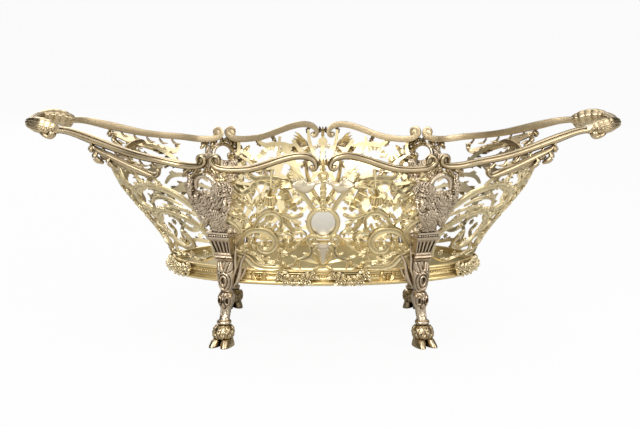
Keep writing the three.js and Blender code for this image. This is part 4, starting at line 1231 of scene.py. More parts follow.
@dataclass
class EndPanels:
    """The pierced panels of the two ends, dense with scrolling leaves."""

    thick: float = 1.8
    least: float = WALL.foot + 0.3

    def build(self, shop: Workshop) -> None:
        """Makes the right end panel and its copy at the left.

        Args:
            shop: Where the pieces are dressed.
        """
        flat = Relief()
        self.stems(flat)
        self.foliage(flat)
        # The end panels take the panel gilt darkened with painted shade.
        shop.ends(flat.whole("end", WALL.end, self.least), "end_panel", Slot.END)

    def stems(self, flat: Relief) -> None:
        """Draws the scrolling stems.

        Args:
            flat: The drawing that takes them.
        """
        flat.strokes(
            even(self.thick), 0.0,
            ([(66, 56), (69, 70), (62, 83), (49, 87), (38, 80), (36, 68), (44, 60.6), (53, 63.6), (52, 72)],
             fading(2.2, 1.1), REEDED),
            ([(36, 70), (27, 76), (17, 73), (13, 64.6), (19, 58.8), (25.4, 62.4), (23.6, 67)],
             fading(1.9, 0.9), REEDED),
            ([(40, 86.6), (33, 91), (37, 99.6), (49, 104.6), (62, 101.6), (71, 92)], fading(1.3, 2.2), REEDED),
            ([(0.6, 85), (5, 93), (14, 101.6), (26, 104), (37, 98)], fading(1.3, 1.8), REEDED),
        )
        flat.strokes(even(1.5), 0.0, *((line, belly(1.35, 0.7), RIDGED) for line in (
            [(66, 57), (54, 52.2), (40, 54.4), (28, 52), (14, 55), (-0.4, 51.2)],
            [(-0.4, 60), (7, 67), (9.4, 76), (-0.4, 86)],
            [(60, 101), (54, 110), (46, 116.6), (38, 119.4)],
            [(28, 103), (24.6, 118.4)], [(12, 101), (10, 113)], [(72, 84), (64, 88.6), (55, 90), (46, 86)],
            [(38, 66), (31, 60), (30, 52)], [(-0.4, 50), (-0.4, 112.6)], [(0, 100), (-7, 106), (-10, 112)],
            [(47, 104), (42, 110), (34, 114), (28, 119)], [(64, 92), (58, 96), (50, 96), (44, 92)],
            [(18, 76), (24, 84), (32, 86), (40, 82)], [(2, 88), (10, 84), (16, 86), (20, 94), (28, 96)],
        )))

    def foliage(self, flat: Relief) -> None:
        """Draws leaves and flowers along the stems.

        Args:
            flat: The drawing that takes them.
        """
        for line, count, size, *sides in (
            ([(66, 58), (69, 70), (62, 83), (50, 87)], 8, 7.4),
            ([(49, 87), (38, 80), (36, 69)], 6, 6.4),
            ([(27, 76), (17, 73), (13, 64.6)], 6, 5.6),
            ([(62, 102), (49, 104.6), (37, 99.6)], 7, 6.4),
            ([(72, 84), (64, 88.6), (55, 90), (46, 86)], 6, 5.4),
            ([(5, 92), (14, 101.6), (26, 104), (36, 99)], 7, 6.2),
            ([(60, 101), (54, 110), (46, 116.4)], 6, 5.4),
            ([(0, 62), (7, 67), (9.4, 76), (2, 84)], 6, 5.0),
            ([(64, 56), (54, 52.2), (40, 54.4), (28, 52.4)], 7, 5.0, (-1,)),
            ([(18, 76), (24, 84), (32, 86), (39, 82.6)], 6, 5.0),
            ([(27, 105), (25, 117)], 5, 4.6), ([(11.6, 103), (10, 112)], 5, 4.2),
            ([(47, 105), (42, 110), (34, 114), (29, 118)], 6, 4.6),
            ([(10, 84), (16, 86), (20, 94), (27, 96)], 6, 4.6),
        ):
            flat.frond(line, count, size * 0.92, 0.3, *sides)
        for centre, radius in (
            ((51.6, 71.4), 2.6), ((23.6, 66.4), 2.3), ((41.4, 87.4), 2.2), ((0.0, 76.4), 2.4), ((30, 68), 2.0),
            ((57, 77), 2.2), ((44.6, 66), 2.0), ((52, 97.6), 2.3), ((66.4, 62), 2.2), ((12.4, 93.4), 2.2),
            ((31, 91), 2.2), ((59.6, 58.4), 1.9), ((47.4, 56.4), 1.9), ((34.4, 56), 1.9), ((20.6, 55.4), 1.8),
            ((7.2, 55.4), 1.8),
        ):
            flat.flower(centre, radius, 6, 0.4, 1.3, centre[0])
        for z in (108 - 7.4 * i for i in range(7)):
            flat.leaf((-0.3, z), (3.4, z - 6.0), 3.0, 0.1, 3, 1.2, 1.1, 0.4)


@dataclass
class Swags:
    """Swags of flowers that hang over the base band, drawn as rises over its underside."""

    long_rise: Rows = ((27.6, 8.4), (25.8, 4.6), (20.6, 2.5), (14.6, 2.4), (9.6, 4.0), (6.8, 7.0))
    end_rise: Rows = ((44, 6.7), (36, 4.3), (27, 4.5), (18, 6.9), (9, 4.9), (-0.6, 4.7))
    lift: float = 2.3
    rubbed: float = 0.3

    def build(self, shop: Workshop) -> None:
        """Makes the swags of all four sides.

        Args:
            shop: Where the pieces are dressed.
        """
        for rise, count, bend, part, place in (
            (self.long_rise, 12, WALL.band, "swag", shop.sides),
            (self.end_rise, 19, WALL.band_end, "end_swag", shop.ends),
        ):
            flat = Relief()
            line = [(u, WALL.underside + z) for u, z in rise]
            flat.stroke(line, belly(1.5, 0.8), belly(2.4, 1.4), HALF_ROUND, self.lift - 0.3)
            flat.festoon(line, count, 2.6, self.lift + 1.0)
            flat.festoon([(u * 0.97, z + 1.9) for u, z in line], count - 2, 1.7, self.lift + 0.6)
            piece = flat.whole(part, bend, WALL.underside + 0.2)
            place(shop.rub(piece, self.rubbed), part, Slot.PANEL)


@dataclass
class Base:
    """The moulded oval band with its beads and leaf clips, and the flat plate inside it."""

    steps: int = 176
    profile: Rows = (
        (-2.2, 49.1), (0.5, 49.1), (0.68, 48.8), (0.7, 48.2), (0.45, 47.7), (0.0, 47.5), (-0.05, 47.1),
        (0.12, 46.9), (0.12, 46.6), (-0.1, 46.4), (-0.4, 45.6), (-0.45, 44.6), (-0.25, 43.9), (0.15, 43.6),
        (0.2, 43.2), (0.05, 43.0), (0.4, 42.4), (1.1, 41.9), (1.6, 41.5), (1.8, 40.9), (1.75, 40.2), (1.4, 39.6),
        (1.0, 39.32), (-2.2, 39.32), (-5.0, 39.32), (-5.2, 39.6), (-5.2, 43.4), (-5.0, 43.7), (-2.4, 43.7),
        (-2.2, 44.0),
    )
    bead_radius: float = 0.66
    bead_height: float = 45.15
    bead_count: int = 276
    clip_at: float = 41.5
    clip_foot: float = 41.4
    clip_top: float = 48.6
    inner_face: float = 1.6
    # Least hollowness on the band's inner face: painted shade in the crevice colour.
    band_inner_shade: float = 0.63
    plate_bevel: float = 0.3

    def build(self, shop: Workshop) -> None:
        """Makes the band and the plate."""
        self.darken(shop.dress(self.band(), Slot.BAND, "base_band").data)
        shop.dress(self.plate(), Slot.PLATE, "base_plate")

    def darken(self, mesh: bpy.types.Mesh) -> None:
        """Darkens the inner face of the band with painted shade, by raising its hollowness so that it takes the crevice
        colour.

        Args:
            mesh: Mesh of the dressed band.
        """
        x, y, _ = places_of(mesh).T / MM
        half_sizes = WALL.half_length - self.inner_face, WALL.half_width - self.inner_face
        inner = np.hypot(x / half_sizes[0], y / half_sizes[1]) < 1
        level = np.empty(len(inner), np.float32)
        mesh.attributes["hollow"].data.foreach_get("value", level)
        mark(mesh, "hollow", np.where(inner, np.maximum(level, self.band_inner_shade), level))

    def band(self) -> bpy.types.Object:
        """Makes the band.

        Returns:
            The band.
        """
        cast, clips = Cast(), Relief()
        phi = np.linspace(0, 2 * np.pi, self.steps, endpoint=False)
        lift, height = np.array(self.profile).T
        grid_phi, lift = np.meshgrid(phi, lift, indexing="ij")
        cast.tube(WALL.upright(grid_phi, np.broadcast_to(height, grid_phi.shape), lift), closed=True)
        fine = np.linspace(0, 2 * np.pi, 2001)
        run = run_of(WALL.upright(fine, 0 * fine, 0 * fine))
        turns = np.interp(np.linspace(0, run[-1], self.bead_count, endpoint=False), run, fine)
        for place in WALL.upright(turns, self.bead_height + 0 * turns, -0.3 + 0 * turns):
            cast.ball(place, self.bead_radius, 5, 7)
        x, foot, top = self.clip_at, self.clip_foot, self.clip_top
        for side in (-1, 1):
            clips.leaf((x + side * 0.3, foot + 0.3), (x + side * 2.7, top), 3.3, -0.3 * side, 2, 0.3, 1.3, 0.2)
        clips.leaf((x, foot + 0.6), (x, top - 2.0), 1.9, 0, 2, 0.3, 1.5, 0.2)
        both = clips.both_ways()
        cast.take(both, WALL.band)
        cast.add(WALL.band(both.array()) * at(1, -1, 1), [face[::-1] for face in both.faces])
        return cast.piece("band", 50)

    def plate(self) -> bpy.types.Object:
        """Makes the plate from a disc, stretched to an oval and bevelled.

        Returns:
            The plate.
        """
        low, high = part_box("base_plate")
        bpy.ops.object.select_all(action="DESELECT")
        bpy.ops.mesh.primitive_cylinder_add(vertices=128, radius=1.0, depth=high.z - low.z)
        piece = bpy.context.object
        piece.scale = ((high.x - low.x) / 2, (high.y - low.y) / 2, 1.0)
        piece.location = (0.0, 0.0, (high.z + low.z) / 2)
        bpy.ops.object.transform_apply(location=True, rotation=True, scale=True)
        edge = piece.modifiers.new("edge", "BEVEL")
        edge.width = self.plate_bevel * MM
        edge.segments = 2
        bpy.ops.object.modifier_apply(modifier=edge.name)
        return smoothed(piece)


@dataclass
class Rails:
    """The moulded rim rails, the handles that they run out to and the leafy branches below."""

    half_tall: float = 2.3
    half_deep: float = 1.8
    lift: float = 0.75
    rail_half_tall: float = 2.9
    rail_half_deep: float = 2.3
    cuff_slim: float = 0.3
    handle_half_tall: float = 3.1
    handle_half_deep: float = 2.55
    reach: float = 192.0
    cuff_end: tuple = (190.4, -22.0, 141.0)
    cuff_start: tuple = (172.4, -30.0, 137.6)
    handle_height: float = 141.6
    cuff_lap: float = 2.4
    cuff_swell: float = 2.0
    sharp: float = 55.0
    centre: Rows = (
        (7.6, 121.4), (6.9, 119.6), (5.2, 119.9), (4.3, 121.4), (4.5, 123.6), (6.8, 126.4), (11, 127.9),
        (15.4, 128.1), (21, 127.1), (27, 125.3), (33, 123.1), (39, 121), (45.6, 119.2), (51, 118.6), (56, 118.3),
        (60.6, 118.4), (64.2, 119.0), (67.2, 120.6), (68.9, 123.0), (68.6, 125.3), (66.8, 126.6), (64.7, 126.1),
        (63.6, 124.2), (63.8, 122.0),
    )
    shoulder: Rows = (
        (77.3, 122.2), (77.6, 124.4), (76.6, 126.1), (74.9, 126.5), (73.3, 125.0), (72.8, 122.8), (73.9, 120.9),
        (76.6, 119.8), (81.4, 119.3), (89, 119.9),
    )
    run: Rows = (
        (0, 0, 0), (0.14, 0.09, 0.11), (0.3, 0.25, 0.215), (0.45, 0.45, 0.36), (0.706, 0.736, 0.7),
        (0.9, 0.93, 0.95), (1, 1, 1),
    )
    branch: Rows = (
        (0.71, 0.6, 4.2), (0.634, 0.6, 5.8), (0.43, 0.0, 8.2), (0.273, -1.7, 10.2), (0.19, -1.8, 10.4),
        (0.168, -1.2, 8.2), (0.166, -1.0, 6.8), (0.18, -1.4, 6.0),
    )
    end_rim: Rows = (
        (40, 119.4), (37.6, 121.4), (33, 121.2), (26, 119.2), (17, 114.8), (8, 112.6), (2.4, 113.4), (0, 115.6),
    )

    def build(self, shop: Workshop) -> None:
        """Makes all rails, handles and branches.

        Args:
            shop: Where the pieces are dressed.
        """
        for make, part in ((self.rim_scroll, "rim_scroll"), (self.shoulder_rail, "shoulder_rail"),
                           (self.handle_cuff, "handle_cuff"), (self.under_scroll, "under_scroll")):
            shop.corners(make(), part, Slot.WORN)
        shop.ends(self.handle_bar(), "handle_bar", Slot.WORN)
        shop.ends(self.end_rim_rail(), "end_rim", Slot.WORN)

    def on_run(self, share: float, *step: float) -> np.ndarray:
        """Point beside the handle's rail at a share of its run.

        Args:
            share: 0 where it leaves the wall and 1 at the handle's corner.
            step: What the point is off the rail by, along the axes.

        Returns:
            The point.
        """
        start = WALL.front(np.array([[*self.shoulder[-1], self.lift]]))[0]
        steps = np.array(self.run).T
        shares = [np.interp(share, steps[0], column) for column in steps]
        return start + (at(*self.cuff_start) - start) * shares + at(*(step or (0, 0, 0)))

    def curl_work(self, middle: float, half_wide: float, *leaves: tuple) -> Relief:
        """Draws the disc inside a curl, with the leaves that hang from the rail.

        Args:
            middle: Where the disc is along the wall.
            half_wide: Its half width.
            leaves: Base, tip, width, bend, lift and height of each leaf.

        Returns:
            The drawing.
        """
        flat = Relief()
        flat.ball((middle, 122.8, -0.2), (half_wide, half_wide + 0.9, 0.6), 8, 20)
        for base, tip, width, bend, lift, tall in leaves:
            flat.leaf(base, tip, width, bend, 3, lift, tall)
        return flat

    def rim_scroll(self) -> bpy.types.Object:
        """Makes a length of rim that starts in a volute at the middle and ends in a hook.

        Returns:
            The piece.
        """
        cast, count = Cast(), 130
        line = smooth_line(self.centre, count)
        t = np.linspace(0, 1, count)
        path = WALL.front(np.column_stack([line, self.lift + 0 * t]))
        wide = np.where(
            t < 0.5, taper(self.half_tall, 0.42, 0.16, 0.1)(t), taper(self.half_tall, 0.36, 0.1, 0.2)(t)
        )
        cast.sweep(path, WALL.front_outs(line), wide, taper(self.half_deep, 0.75, 0.05, 0.05)(t), RAIL)
        cast.ball(WALL.front(np.array([[6.9, 120.9, 1.6]]))[0], (2.0, 1.7, 2.0), 8, 14)
        cast.take(self.curl_work(
            66.3, 3.3, ((64, 117.4), (57.6, 112.6), 4.6, 0.15, 0.4, 1.6),
            ((68.6, 119.4), (64.4, 112.4), 5.0, -0.1, 0.4, 1.6), ((69.6, 120), (70.4, 114.6), 3.6, 0.0, 0.2, 1.4),
            ((36.6, 120.6), (33.4, 115.6), 3.4, 0.1, 0.4, 1.2), ((3.4, 121.8), (2.6, 126.6), 2.6, 0.2, 0.4, 1.2),
            ((8.6, 126), (11.4, 121.4), 3.0, 0.2, 0.2, 1.2),
        ), WALL.front)
        return cast.piece("rim", self.sharp)

    def shoulder_rail(self) -> bpy.types.Object:
        """Makes the rail that curls over the mask and runs out to the handle.

        Returns:
            The piece.
        """
        cast, count = Cast(), 150
        curl = np.array(self.shoulder)
        knots = [self.on_run(share) for share, _, _ in self.run[1:]]
        rough = np.vstack([WALL.front(np.column_stack([curl, np.full(len(curl), self.lift)])), knots])
        path = smooth_line(rough, count)
        t = np.linspace(0, 1, count)
        rail_outs = [unit(at(0.45, -1.0, -0.1))] * (len(knots) - 1) + [unit(at(0.2, -1.0, 0.0))]
        run = run_of(rough)
        knot_outs = np.vstack([WALL.front_outs(curl), rail_outs])
        outs = unit(np.column_stack([np.interp(t, run / run[-1], column) for column in knot_outs.T]))
        grow = np.clip((t - 0.5) / 0.35, 0, 1)
        grow = grow * grow * (3 - 2 * grow)
        slim = 1 - self.cuff_slim * np.clip((t - 0.8) / 0.2, 0, 1)
        wide = self.half_tall * np.minimum(1, 0.36 + 4.2 * t) + (self.rail_half_tall - self.half_tall) * grow
        deep = self.half_deep * np.minimum(1, 0.75 + 3 * t) + (self.rail_half_deep - self.half_deep) * grow
        cast.sweep(path, outs, wide * slim, deep, RAIL)
        cast.take(self.curl_work(
            75.2, 3.2, ((75.6, 119.4), (79.4, 112.0), 5.0, 0.1, 0.4, 1.6),
            ((80.6, 118.4), (86.6, 112.4), 5.0, 0.1, 0.4, 1.6), ((72.2, 120.2), (72.6, 114.4), 3.6, 0.0, 0.2, 1.4),
        ), WALL.front)
        return cast.piece("shoulder", self.sharp)

    def handle_cuff(self) -> bpy.types.Object:
        """Makes the leafy spindle that wraps the corner of the handle, with a scrolled leaf under it.

        Returns:
            The piece.
        """
        cast, count = Cast(), 64
        start, end = at(*self.cuff_start), at(*self.cuff_end)
        lap = unit(end - start) * self.cuff_lap
        path = smooth_line([start - lap, start + (end - start) * 0.55 + at(0.8, -1.8, 0.6), end + lap], count)
        t = np.linspace(0, 1, count)
        outs = unit(at(0.3, -1, 0) + t[:, None] * at(0.6, 0.4, 0))
        swell = self.cuff_swell * np.sin(np.pi * np.clip(t, 0, 1)) ** 0.9
        ribs = 0.25 * np.abs(np.sin(5 * np.pi * t))
        ease = 1 - 0.32 * np.clip(1 - t / 0.3, 0, 1) ** 2 - 0.2 * np.clip(1 - (1 - t) / 0.25, 0, 1) ** 2
        proud = self.handle_half_deep + 0.7 * swell
        cast.sweep(path, outs, (self.handle_half_tall - 0.1 + swell + ribs) * ease, (proud + ribs) * ease, CUFF)
        side = np.cross(outs, ways(path))
        shares = np.array([0.14, 0.32, 0.5, 0.68, 0.86])
        where = (shares * (count - 1)).astype(int)
        spread = 1.15 * (0.7 + 0.3 * np.sin(np.pi * shares))
        for k in (-2, -1, 0, 1, 2):
            ridge = path[where] + side[where] * (k * spread)[:, None]
            ridge += outs[where] * (proud[where] - 0.18 * k * k)[:, None]
            cast.limb(ridge, [0.3, 0.75, 0.85, 0.7, 0.3], 24, 0.8)
        scroll = path[int(0.2 * count)] + at(0.0, -1.2, -3.0)
        leaf = [
            end + at(-0.4, 0.6, -1.2), end + at(-5.0, -2.4, -2.0), scroll + at(4.2, -0.4, -1.3),
            scroll + at(0.4, -0.6, -2.5), scroll + at(-2.0, -0.6, -0.6), scroll + at(-0.8, -0.4, 1.4),
        ]
        cast.limb(leaf, [0.8, 1.7, 2.1, 2.0, 1.5, 0.8], 34, 0.8)
        cast.ball(scroll + at(0.3, -0.4, -0.2), (2.7, 2.5, 2.7), 9, 12)
        for share, size in ((0.1, 1.3), (0.22, 1.0), (0.34, 1.2)):
            i = int(share * count)
            cast.ball(path[i] + outs[i] * (proud[i] + 0.2) + at(0, 0, 1.4 - 6 * share), size)
        return cast.piece("cuff", 60)

    def handle_bar(self) -> bpy.types.Object:
        """Makes the bar across the handle's end, a roll that is fluted along its length.

        Returns:
            The piece.
        """
        cast, count = Cast(), 60
        end, far = at(*self.cuff_end), at(1, -1, 1)
        near = at(self.reach - 0.3, 0.55 * end[1], self.handle_height)
        path = smooth_line([end, near, (self.reach, 0, self.handle_height + 0.2), near * far, end * far], count)
        outs = unit(np.column_stack([np.ones(count), 0.4 * path[:, 1] / 30, np.zeros(count)]))
        swell = 0.3 * np.sin(np.pi * np.linspace(0, 1, count))
        deep = np.full(count, self.handle_half_deep - 0.45)
        cast.sweep(path, outs, self.handle_half_tall - 0.5 + swell, deep, ROLL)
        return cast.piece("bar", 70)

    def under_scroll(self) -> bpy.types.Object:
        """Makes the branch below the handle's rail, with its leaves and bud.

        Returns:
            The piece.
        """
        cast, count = Cast(), 90
        path = smooth_line([self.on_run(share, 0, -out, -drop) for share, out, drop in self.branch], count)
        outs = np.tile(unit(at(0.45, -1.0, -0.3)), (count, 1))
        t = np.linspace(0, 1, count)
        cast.sweep(path, outs, taper(2.6, 0.4, 0.25, 0.3)(t), taper(1.9, 0.6, 0.1, 0.1)(t), RAIL)
        cast.ball(self.on_run(0.172, 0, 0.6, -6.6), 1.7, 8, 12)
        for share, length, drop, size in (
            (0.2, 6.4, 3.4, 1.6), (0.3, 6.0, 3.6, 1.5), (0.4, 6.0, 3.6, 1.6), (0.5, 5.4, 3.4, 1.4),
            (0.6, 5.2, 3.2, 1.3), (0.68, 4.6, 3.2, 1.2),
        ):
            foot = self.on_run(share, 1.5, 1.0, -drop + 1.2)
            tip = foot + at(-length, 0.2, -3.4)
            middle = (foot + tip) / 2 + at(0.6, -0.5, -1.4)
            cast.limb([foot, middle, tip], size * at(0.7, 1, 0.8, 0.3), 14, 0.6)
        for share, drop in ((0.36, 10.6), (0.5, 9.8), (0.64, 8.8)):
            foot = self.on_run(share, 0, 0.2, -drop)
            cast.limb([foot, foot + at(-2.0, 0.2, -1.8), foot + at(-4.6, 0.8, -2.4)], [0.9, 1.4, 0.4], 12, 0.6)
        for share, size in ((0.655, 1.0), (0.545, 0.85)):
            foot = self.on_run(share, 0.4, -0.2, -6.0)
            hang = [foot, foot + at(1.6, -0.8, -2.4), foot + at(0.4, -1.0, -5.0), foot + at(-4.0, -0.4, -7.6)]
            cast.limb(hang, size * at(1.6, 2.9, 2.8, 1.3), 20, 0.7)
        stem = self.on_run(0.705, 0, -1.0, -3.6)
        for angle in (2 * math.pi * turn / 5 for turn in range(5)):
            ring = at(math.cos(angle), math.sin(angle), 0)
            petal = [stem, stem + ring * 1.9 + at(-0.4, 0, -2.2), stem + ring * 1.5 + at(-0.8, -0.4, -4.4)]
            cast.limb(petal, [0.6, 1.1, 1.0, 0.4], 10)
        cast.ball(stem + at(-0.5, -0.2, -2.2), (1.7, 1.7, 1.9), 7, 10)
        cast.limb([self.on_run(0.715, 0, 0, -1.6), stem], [1.0, 1.0], 6)
        return cast.piece("branch", self.sharp)

    def end_rim_rail(self) -> bpy.types.Object:
        """Makes the rim of the end wall with its crest leaves.

        Returns:
            The piece.
        """
        cast, flat, count = Cast(), Relief(), 130
        line = smooth_line([(-s, z) for s, z in self.end_rim] + list(self.end_rim[-2::-1]), count)
        t = np.linspace(0, 1, count)
        outs = WALL.normal(np.pi / 2 + line[:, 0] / WALL.end_unroll, line[:, 1])
        path = WALL.end(np.column_stack([line, self.lift + 0 * t]))
        cast.sweep(path, outs, taper(1.95, 0.55, 0.1, 0.1)(t), taper(1.5, 0.7, 0.05, 0.05)(t), RAIL)
        rows = ((33, 120), (27, 115), 3.4), ((22, 117), (16.4, 111), 3.4), ((4, 113), (9.6, 108), 3.4)
        flat.leaves(rows, 3, 0.3, 1.4, bend=0.1)
        cast.take(flat.both_ways(), WALL.end)
        return cast.piece("end_rim", self.sharp)


@dataclass
class MiddleOrnaments:
    """What fills the middle of a long side: medallion and ring, boss, doves and ox skull."""

    medallion_height: float = 83.9
    medallion_half: tuple = (8.0, 11.3)
    medallion_crown: float = 1.5
    ring_profile: Rows = (
        (0.0, 0), (0.0, 0.9), (0.2, 1.25), (0.5, 1.55), (0.9, 1.75), (1.4, 1.85), (1.9, 1.75), (2.4, 1.4), (2.7, 0.8),
        (2.75, 0),
    )
    boss_height: float = 115.4
    boss_profile: Rows = (
        (0.05, 3.5), (1.0, 3.35), (1.7, 2.8), (2.0, 2.2), (2.2, 2.0), (2.9, 2.3), (3.3, 1.9), (3.45, 1.1), (3.4, 0),
    )
    figure_lift: float = 2.6
    dove_body: tuple = ((-1.0, 19.0), (100.0, 114.6))
    dove_rubbed: float = 0.62
    skull_face: tuple = ((-4.3, 4.3), (50.0, 73.0))
    skull_rubbed: float = 0.8

    def build(self, shop: Workshop) -> None:
        """Makes the ornaments of both long sides.

        Args:
            shop: Where the pieces are dressed.
        """
        shop.sides(self.medallion(), "medallion", Slot.BLANK)
        shop.sides(self.medallion_ring(), "medallion_frame", Slot.PANEL)
        shop.sides(self.boss(), "boss", Slot.PANEL)
        shop.corners(shop.rub(self.dove(), self.dove_rubbed, self.dove_body), "dove", Slot.PANEL)
        shop.sides(shop.rub(self.ox_skull(), self.skull_rubbed, self.skull_face), "ox_skull", Slot.PANEL)

    def set_in(self, piece: bpy.types.Object, height: float, lift: float) -> bpy.types.Object:
        """Moves a turned piece's mesh onto the middle of the front.

        Args:
            piece: The piece, made at the origin facing up.
            height: Its height.
            lift: Its distance out of the wall.

        Returns:
            The piece.
        """
        out, across = Vector(WALL.normal(np.array([0.0]), np.array([height]))[0]), Vector((1, 0, 0))
        frame_matrix = Matrix((across, out.cross(across), out)).transposed().to_4x4()
        frame_matrix.translation = Vector(WALL.front(np.array([[0.0, height, lift]]))[0] * MM)
        piece.data.transform(frame_matrix)
        return smoothed(piece)

    def medallion(self) -> bpy.types.Object:
        """Makes the blank oval: a sphere cut in half and flattened.

        Returns:
            The piece.
        """
        bpy.ops.object.select_all(action="DESELECT")
        bpy.ops.mesh.primitive_uv_sphere_add(segments=64, ring_count=32, radius=1.0)
        piece = bpy.context.object
        bpy.ops.object.mode_set(mode="EDIT")
        bpy.ops.mesh.select_all(action="SELECT")
        bpy.ops.mesh.bisect(plane_co=(0, 0, 0), plane_no=(0, 0, 1), use_fill=True, clear_inner=True)
        bpy.ops.object.mode_set(mode="OBJECT")
        half_wide, half_tall = self.medallion_half
        piece.scale = (half_wide * MM, half_tall * MM, self.medallion_crown * MM)
        bpy.ops.object.transform_apply(location=True, rotation=True, scale=True)
        return self.set_in(piece, self.medallion_height, 0.4)

    def medallion_ring(self) -> bpy.types.Object:
        """Makes the moulded ring round the medallion.

        Returns:
            The piece.
        """
        cast = Cast()
        half_wide, half_tall = self.medallion_half
        cast.tube(np.array([
            [((half_wide + grow) * math.cos(a), (half_tall + grow) * math.sin(a), up)
             for grow, up in self.ring_profile] for a in np.linspace(0, 2 * np.pi, 96, endpoint=False)
        ]), closed=True)
        for x in (-1.7, 0.0, 1.7):
            cast.ball((x, half_tall + 1.2, 2.2), 0.8, 5, 8)
        return self.set_in(new_object("ring", cast.array(), cast.faces), self.medallion_height, 0.1)

    def boss(self) -> bpy.types.Object:
        """Makes the round boss on the rim with a plume over it.

        Returns:
            The piece.
        """
        cast = Relief()
        cast.tube(np.array([
            [(r * math.cos(a), r * math.sin(a), up) for a in np.linspace(0, 2 * np.pi, 32, endpoint=False)]
            for r, up in self.boss_profile
        ]))
        for x, top, width in ((-1.9, 9.6, 2.2), (0.0, 11.4, 2.6), (1.9, 9.6, 2.2)):
            cast.leaf((x * 0.3, 2.6), (x, top), width, 0.1 * x, 3, 0.1, 1.2, 0.8)
        return self.set_in(new_object("boss", cast.array(), cast.faces), self.boss_height, 0.2)

    def dove(self) -> bpy.types.Object:
        """Makes a dove in profile, its beak to the middle and its wing raised.

        Returns:
            The piece.
        """
        flat, lift = Relief(), self.figure_lift
        flat.stroke(
            [(2.4, 112.1), (4.4, 112.2), (7.2, 110.3), (11, 109.2), (15, 109.7), (18.4, 110.2)],
            lambda t: 0.9 + 2.5 * np.sin(np.pi * np.clip(t * 1.02, 0, 1)) ** 1.3 * np.clip(t * 2.2, 0.3, 1),
            belly(3.1, 1.4, 1.0), HALF_ROUND, lift - 0.6, density=2,
        )
        flat.ball((4.3, 112.3, lift + 0.5), (1.75, 1.55, 1.5), 8, 12)
        flat.limb([(3.2, 112.3, lift + 0.6), (1.4, 111.8, lift + 0.5), (0.4, 111.3, lift + 0.4)], [0.75, 0.5, 0.15], 8)
        feathers = (
            ((9.8, 111.0), (20.2, 122.9)), ((10.6, 110.6), (21.2, 120.6)), ((11.4, 110.4), (21.6, 118.3)),
            ((12.2, 110.2), (21.2, 116.1)), ((13, 110), (20.2, 114.1)), ((13.6, 109.8), (18.8, 112.4)),
        )
        for k, (root, tip) in enumerate(feathers):
            flat.leaf(root, tip, 3.0 - 0.2 * k, 0.05, 2, lift + 0.1 + 0.14 * (5 - k), 0.9, 0.2)
        for k in range(5):
            flat.leaf((9.4 + 0.9 * k, 109.8), (13.6 + 1.3 * k, 115.6 - k), 2.6, 0, 2, lift + 1.6, 0.8, 0.2)
        for k in range(4):
            flat.leaf((17.4, 109.9), (25.6 + 0.4 * k, 113.2 - 1.5 * k), 1.9, 0.05, 2, lift - 0.2 + 0.2 * k, 0.9, 0.5)
        return smoothed(new_object("dove", WALL.front(flat.array()), flat.faces))

    def ox_skull(self) -> bpy.types.Object:
        """Makes the ox skull with its horns and volutes; the pointed straps that spread from it are drawn in the panel.

        Returns:
            The piece.
        """
        cast, middle, right, lift = Cast(), Relief(), Relief(), self.figure_lift
        middle.stroke(
            [(0, 72.0), (0, 69.0), (0, 64), (0, 59.6), (0, 56.6)],
            lambda t: np.interp(t, [0, 0.12, 0.3, 0.5, 0.75, 0.88, 1], [2.6, 4.2, 4.0, 2.9, 1.9, 2.2, 1.3]),
            fading(3.0, 2.0), HALF_ROUND, lift + 0.3, density=3,
        )
        middle.ball((0, 70.0, lift + 2.6), (2.6, 1.8, 1.2), 7, 12)
        right.ball((2.6, 67.6, lift + 2.3), (0.9, 0.75, 0.7), 6, 8)
        right.leaf((2.6, 69.4), (6.6, 66.0), 2.0, 0.1, 2, lift + 0.6, 1.0, 0.3)
        right.stroke(
            [(2.2, 69.6), (4.6, 70.8), (7.4, 70), (8.6, 67.8), (7.6, 65.6)], comma(1.25, 0.4), comma(2.2, 1.2),
            HALF_ROUND, lift - 0.3,
        )
        right.stroke(
            [(6.6, 69.2), (8.9, 71.4), (9.6, 74), (8, 76), (5.6, 76), (4.8, 74), (6.2, 72.9)],
            taper(1.25, 0.6, 0.2, 0.3), even(1.9), REEDED, lift - 0.5,
        )
        cast.take(middle, WALL.front)
        cast.take(right.both_ways(), WALL.front)
        return cast.piece("skull")


@dataclass(frozen=True)
class LegFrame:
    """Frame of the right front leg: along the band, out from it and up, in millimetres."""

    middle: float = 59.0
    splay: float = 2.0
    knee: float = 55.6

    def axes(self) -> tuple[np.ndarray, np.ndarray, np.ndarray]:
        """Origin of the leg on the floor, its way out and its way along.

        Returns:
            The three vectors.
        """
        phi, zero = np.array([math.asin(self.middle / WALL.half_length)]), np.zeros(1)
        origin = WALL.upright(phi, zero, zero)[0]
        out = unit(WALL.upright(phi, zero, zero + 1)[0] - origin)
        return origin, out, at(-out[1], out[0], 0)

    def place(self, local: np.ndarray) -> np.ndarray:
        """Places points of [along, out, up] in the basket.

        Args:
            local: Points, in the last axis.

        Returns:
            The placed points.
        """
        local = np.asarray(local, float)
        origin, out, along = self.axes()
        splay = self.splay * np.maximum(0, 1 - local[..., 2] / self.knee)
        ground = origin + out * local[..., 1:2] + along * (local[..., 0] + splay)[..., None]
        return np.concatenate([ground[..., :2], local[..., 2:3]], -1)


LEG = LegFrame()


def lofted(rows: Rows, power: float, count: int, steps: int) -> np.ndarray:
    """Squared rings through rows of [height, back, front, half width].

    Args:
        rows: The rows from the lowest up.
        power: 1 for ovals and less for squarer rings.
        count: Points in a ring.
        steps: The number of rings.

    Returns:
        Rings of points of [along, out, up].
    """
    angle = np.linspace(0, 2 * np.pi, count, endpoint=False)
    c, s = (np.sign(turn) * np.abs(turn) ** power for turn in (np.cos(angle), np.sin(angle)))
    return np.array([
        np.column_stack([half * c, (back + front) / 2 + (front - back) / 2 * s, np.full(count, z)])
        for z, back, front, half in smooth_line(rows, steps)
    ])


